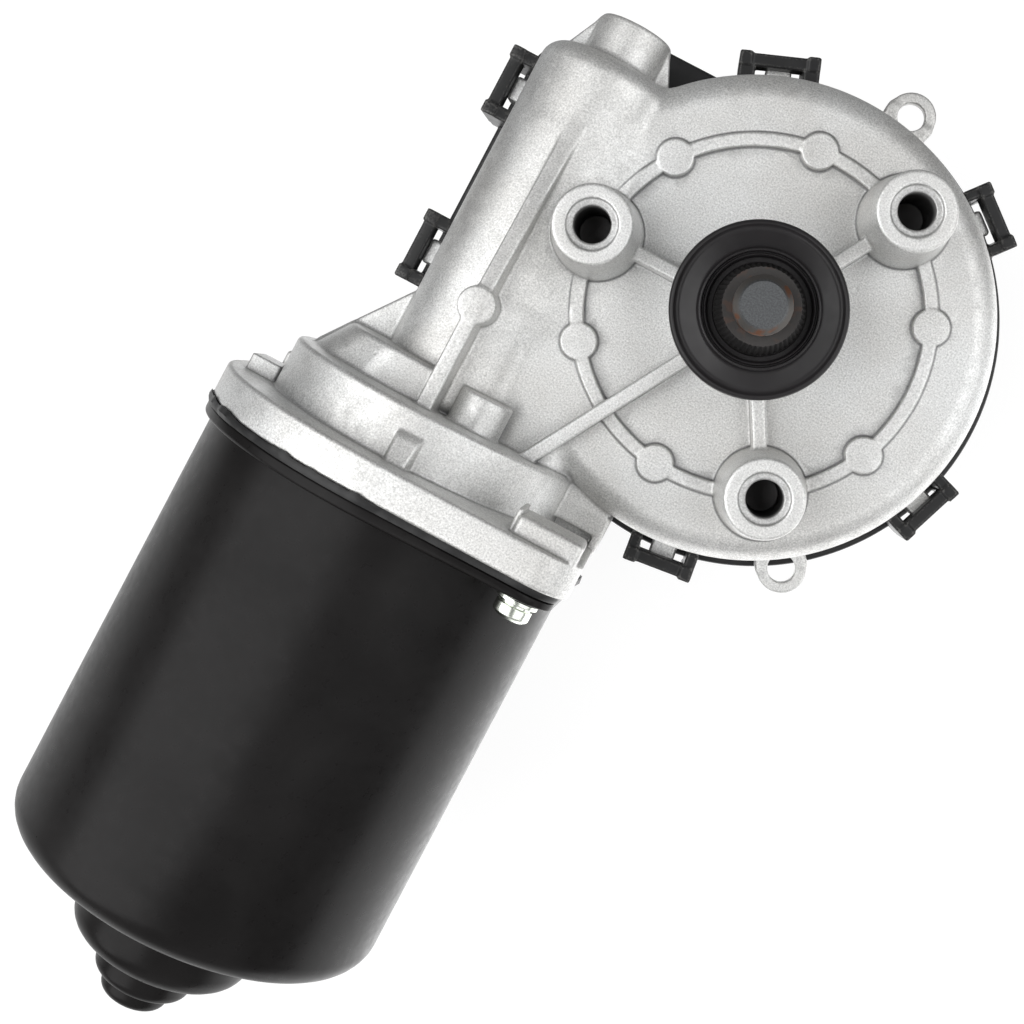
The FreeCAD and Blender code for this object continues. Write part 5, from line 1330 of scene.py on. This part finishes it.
def make_shaft():
    """Rings up the shaft.

    A serration is a wave in the angle, fading at both ends of the cone. The
    thread is a wave in the height less the angle's share of a turn, fading at
    both of its ends. A wave is the distance from one half, times two.
    """
    angles = np.arange(600) * math.tau / 600
    journal = np.linspace(SHAFT_FOOT + 1, CONE_LOW, 8)
    cone = np.linspace(CONE_LOW + 0.1, CONE_HIGH, 40)
    thread = np.concatenate([[CONE_HIGH, CONE_HIGH + 0.02],
                             np.linspace(CONE_HIGH + 0.1, THREAD_TOP, 70)])

    share = ((cone - CONE_LOW) / (CONE_HIGH - CONE_LOW))[:, None]
    fade = np.minimum(np.minimum(1, 12 * share), 12 * (1 - share) + 0.3)
    wave = np.abs((angles * SERRATIONS / math.tau) % 1 - 0.5) * 2
    cone_reach = JOURNAL - CONE_TAPER * share - SERRATION_DEPTH * fade * wave

    height = thread[:, None]
    fade = np.minimum(np.minimum(1, (height - CONE_HIGH) / 0.8),
                      (THREAD_TOP - height) / 0.5 + 0.2)
    wave = np.abs((height / THREAD_PITCH - angles / math.tau) % 1 - 0.5) * 2
    thread_reach = THREAD_RADIUS - THREAD_DEPTH * fade * wave

    def plain(*radii):
        """One round ring for each radius."""
        return np.repeat(np.array(radii)[:, None], len(angles), 1)

    heights = np.concatenate([[SHAFT_FOOT, SHAFT_FOOT, SHAFT_FOOT + 0.8], journal, cone,
                              thread, [SHAFT_TOP, SHAFT_TOP]])
    reach = np.concatenate([plain(AXIS_GAP, 7.2, JOURNAL), plain(*[JOURNAL] * len(journal)),
                            cone_reach, thread_reach, plain(3.8, AXIS_GAP)])
    along = np.repeat(heights[:, None], len(angles), 1)
    return revolved("output_shaft", reach, along, upright)


shaft_steel()
placed("output_shaft_turned", make_shaft(), "output", "phosphate_steel", ["output_shaft"])


# Rain cap
# A smooth black moulding pressed on the shaft, with a dished top, a rolled rim
# and a double collar round the cone.

moulding("cap_plastic", (0.013, 0.0118, 0.0126), 0.33, 0.6, 0.004,
         Specular_IOR_Level=0.30)
cap_profile = rounded_corners([
    (8.05, 4.2), (8.05, 5.6, 0.2), (9.1, 5.6, 0.3), (9.2, 6.9, 0.35),
    (9.55, 6.9, 0.12), (9.7, 6.3, 0.12), (9.95, 6.3, 0.12), (10.05, 7.2, 0.12),
    (10.5, 7.2, 0.3), (10.75, 5.9, 0.7), (14.2, 5.0, 1.2), (14.9, 5.6, 0.5),
    (15.65, 5.5, 0.75), (15.65, -1.0, 0.3), (14.4, -1.0, 0.3), (14.4, 4.2, 0.6),
], 6)
placed("rain_cap_moulded", lathed("rain_cap", cap_profile, ROUND, upright, closed=True),
       "output", "cap_plastic", ["rain_cap"])


# Stage
# A white sweep that the motor lies on, with four soft lamps above it. In the
# can's reflection the floor is bright on the right and dim towards the gear case.

FLOOR_Z = cad_low.z - 0.012
FLOOR_HALF = 2.0
WHITE = (1, 1, 1, 1)


def along_picture(tree, way):
    """How far a spot lies along a direction of the picture, from its world place."""
    place = added(tree, "NewGeometry").outputs["Position"]
    return added(tree, "VectorMath", {0: place, 1: (way[0], way[1], 0)},
                 operation="DOT_PRODUCT").outputs["Value"]


def sweep():
    """White where the camera looks, a veil for the shadow, and graded in mirrors."""
    made = bpy.data.materials.new("sweep")
    made.use_nodes = True
    tree = made.node_tree
    tree.nodes.remove(tree.nodes["Principled BSDF"])
    path = added(tree, "LightPath")
    seen = added(tree, "Emission", {"Color": WHITE, "Strength": 0.90})
    white = added(tree, "BsdfDiffuse", {"Color": (0.75, 0.75, 0.75, 1)})
    veil = added(tree, "BsdfDiffuse", {"Color": (0.16, 0.16, 0.16, 1)})
    shown = added(tree, "AddShader", {0: seen.outputs[0], 1: veil.outputs[0]})
    side = ramp(tree, along_picture(tree, CAMERA_RIGHT), -0.115, -0.07, 0.95, 2.0)
    top = ramp(tree, along_picture(tree, CAMERA_UP), 0.02, 0.06, 1.0, 0.12)
    mirrored = added(tree, "Emission", {"Color": WHITE,
                                        "Strength": worked(tree, "MULTIPLY", side, top)})
    rest = added(tree, "MixShader", {0: path.outputs["Is Glossy Ray"],
                                     1: white.outputs[0], 2: mirrored.outputs[0]})
    last = added(tree, "MixShader", {0: path.outputs["Is Camera Ray"],
                                     1: rest.outputs[0], 2: shown.outputs[0]})
    tree.links.new(last.outputs[0], tree.nodes["Material Output"].inputs["Surface"])
    return made


def in_picture(right, up, height):
    """A place given by how far it lies right and up in the picture."""
    x = CAMERA_RIGHT[0] * right + CAMERA_UP[0] * up
    y = CAMERA_RIGHT[1] * right + CAMERA_UP[1] * up
    return (x, y, height)


def add_lamp(name, place, size, power):
    """A square lamp that looks at the motor's middle."""
    aim = Vector((-0.03, -0.03, -0.02))
    lamp = bpy.data.objects.new(name, bpy.data.lights.new(name, "AREA"))
    bpy.context.scene.collection.objects.link(lamp)
    lamp.data.shape = "RECTANGLE"
    lamp.data.size = lamp.data.size_y = size
    lamp.data.energy = power
    lamp.location = place
    lamp.rotation_euler = (aim - Vector(place)).to_track_quat("-Z", "Y").to_euler()


floor_mesh = bpy.data.meshes.new("floor")
floor_mesh.from_pydata([(x * FLOOR_HALF, y * FLOOR_HALF, FLOOR_Z) for x, y in
                        ((-1, -1), (1, -1), (1, 1), (-1, 1))], [], [(0, 1, 2, 3)])
floor_mesh.materials.append(sweep())
floor = bpy.data.objects.new("floor", floor_mesh)
bpy.context.scene.collection.objects.link(floor)
for name, place, size, power in (
    ("right", (0.9, -0.3, 0.85), 1.4, 8.5),
    ("high right", (0.5, 0.15, 1.0), 0.5, 1.2),
    ("left", (-0.85, -0.05, 0.9), 1.4, 16.0),
    ("below", (-0.2, -0.95, 0.8), 1.4, 1.5),
):
    add_lamp(name, in_picture(*place), size, power)

world = bpy.data.worlds.new("world")
bpy.context.scene.world = world
world.use_nodes = True
world.node_tree.nodes["Background"].inputs["Color"].default_value = WHITE
world.node_tree.nodes["Background"].inputs["Strength"].default_value = 0.22

bpy.context.scene.view_settings.view_transform = "Standard"
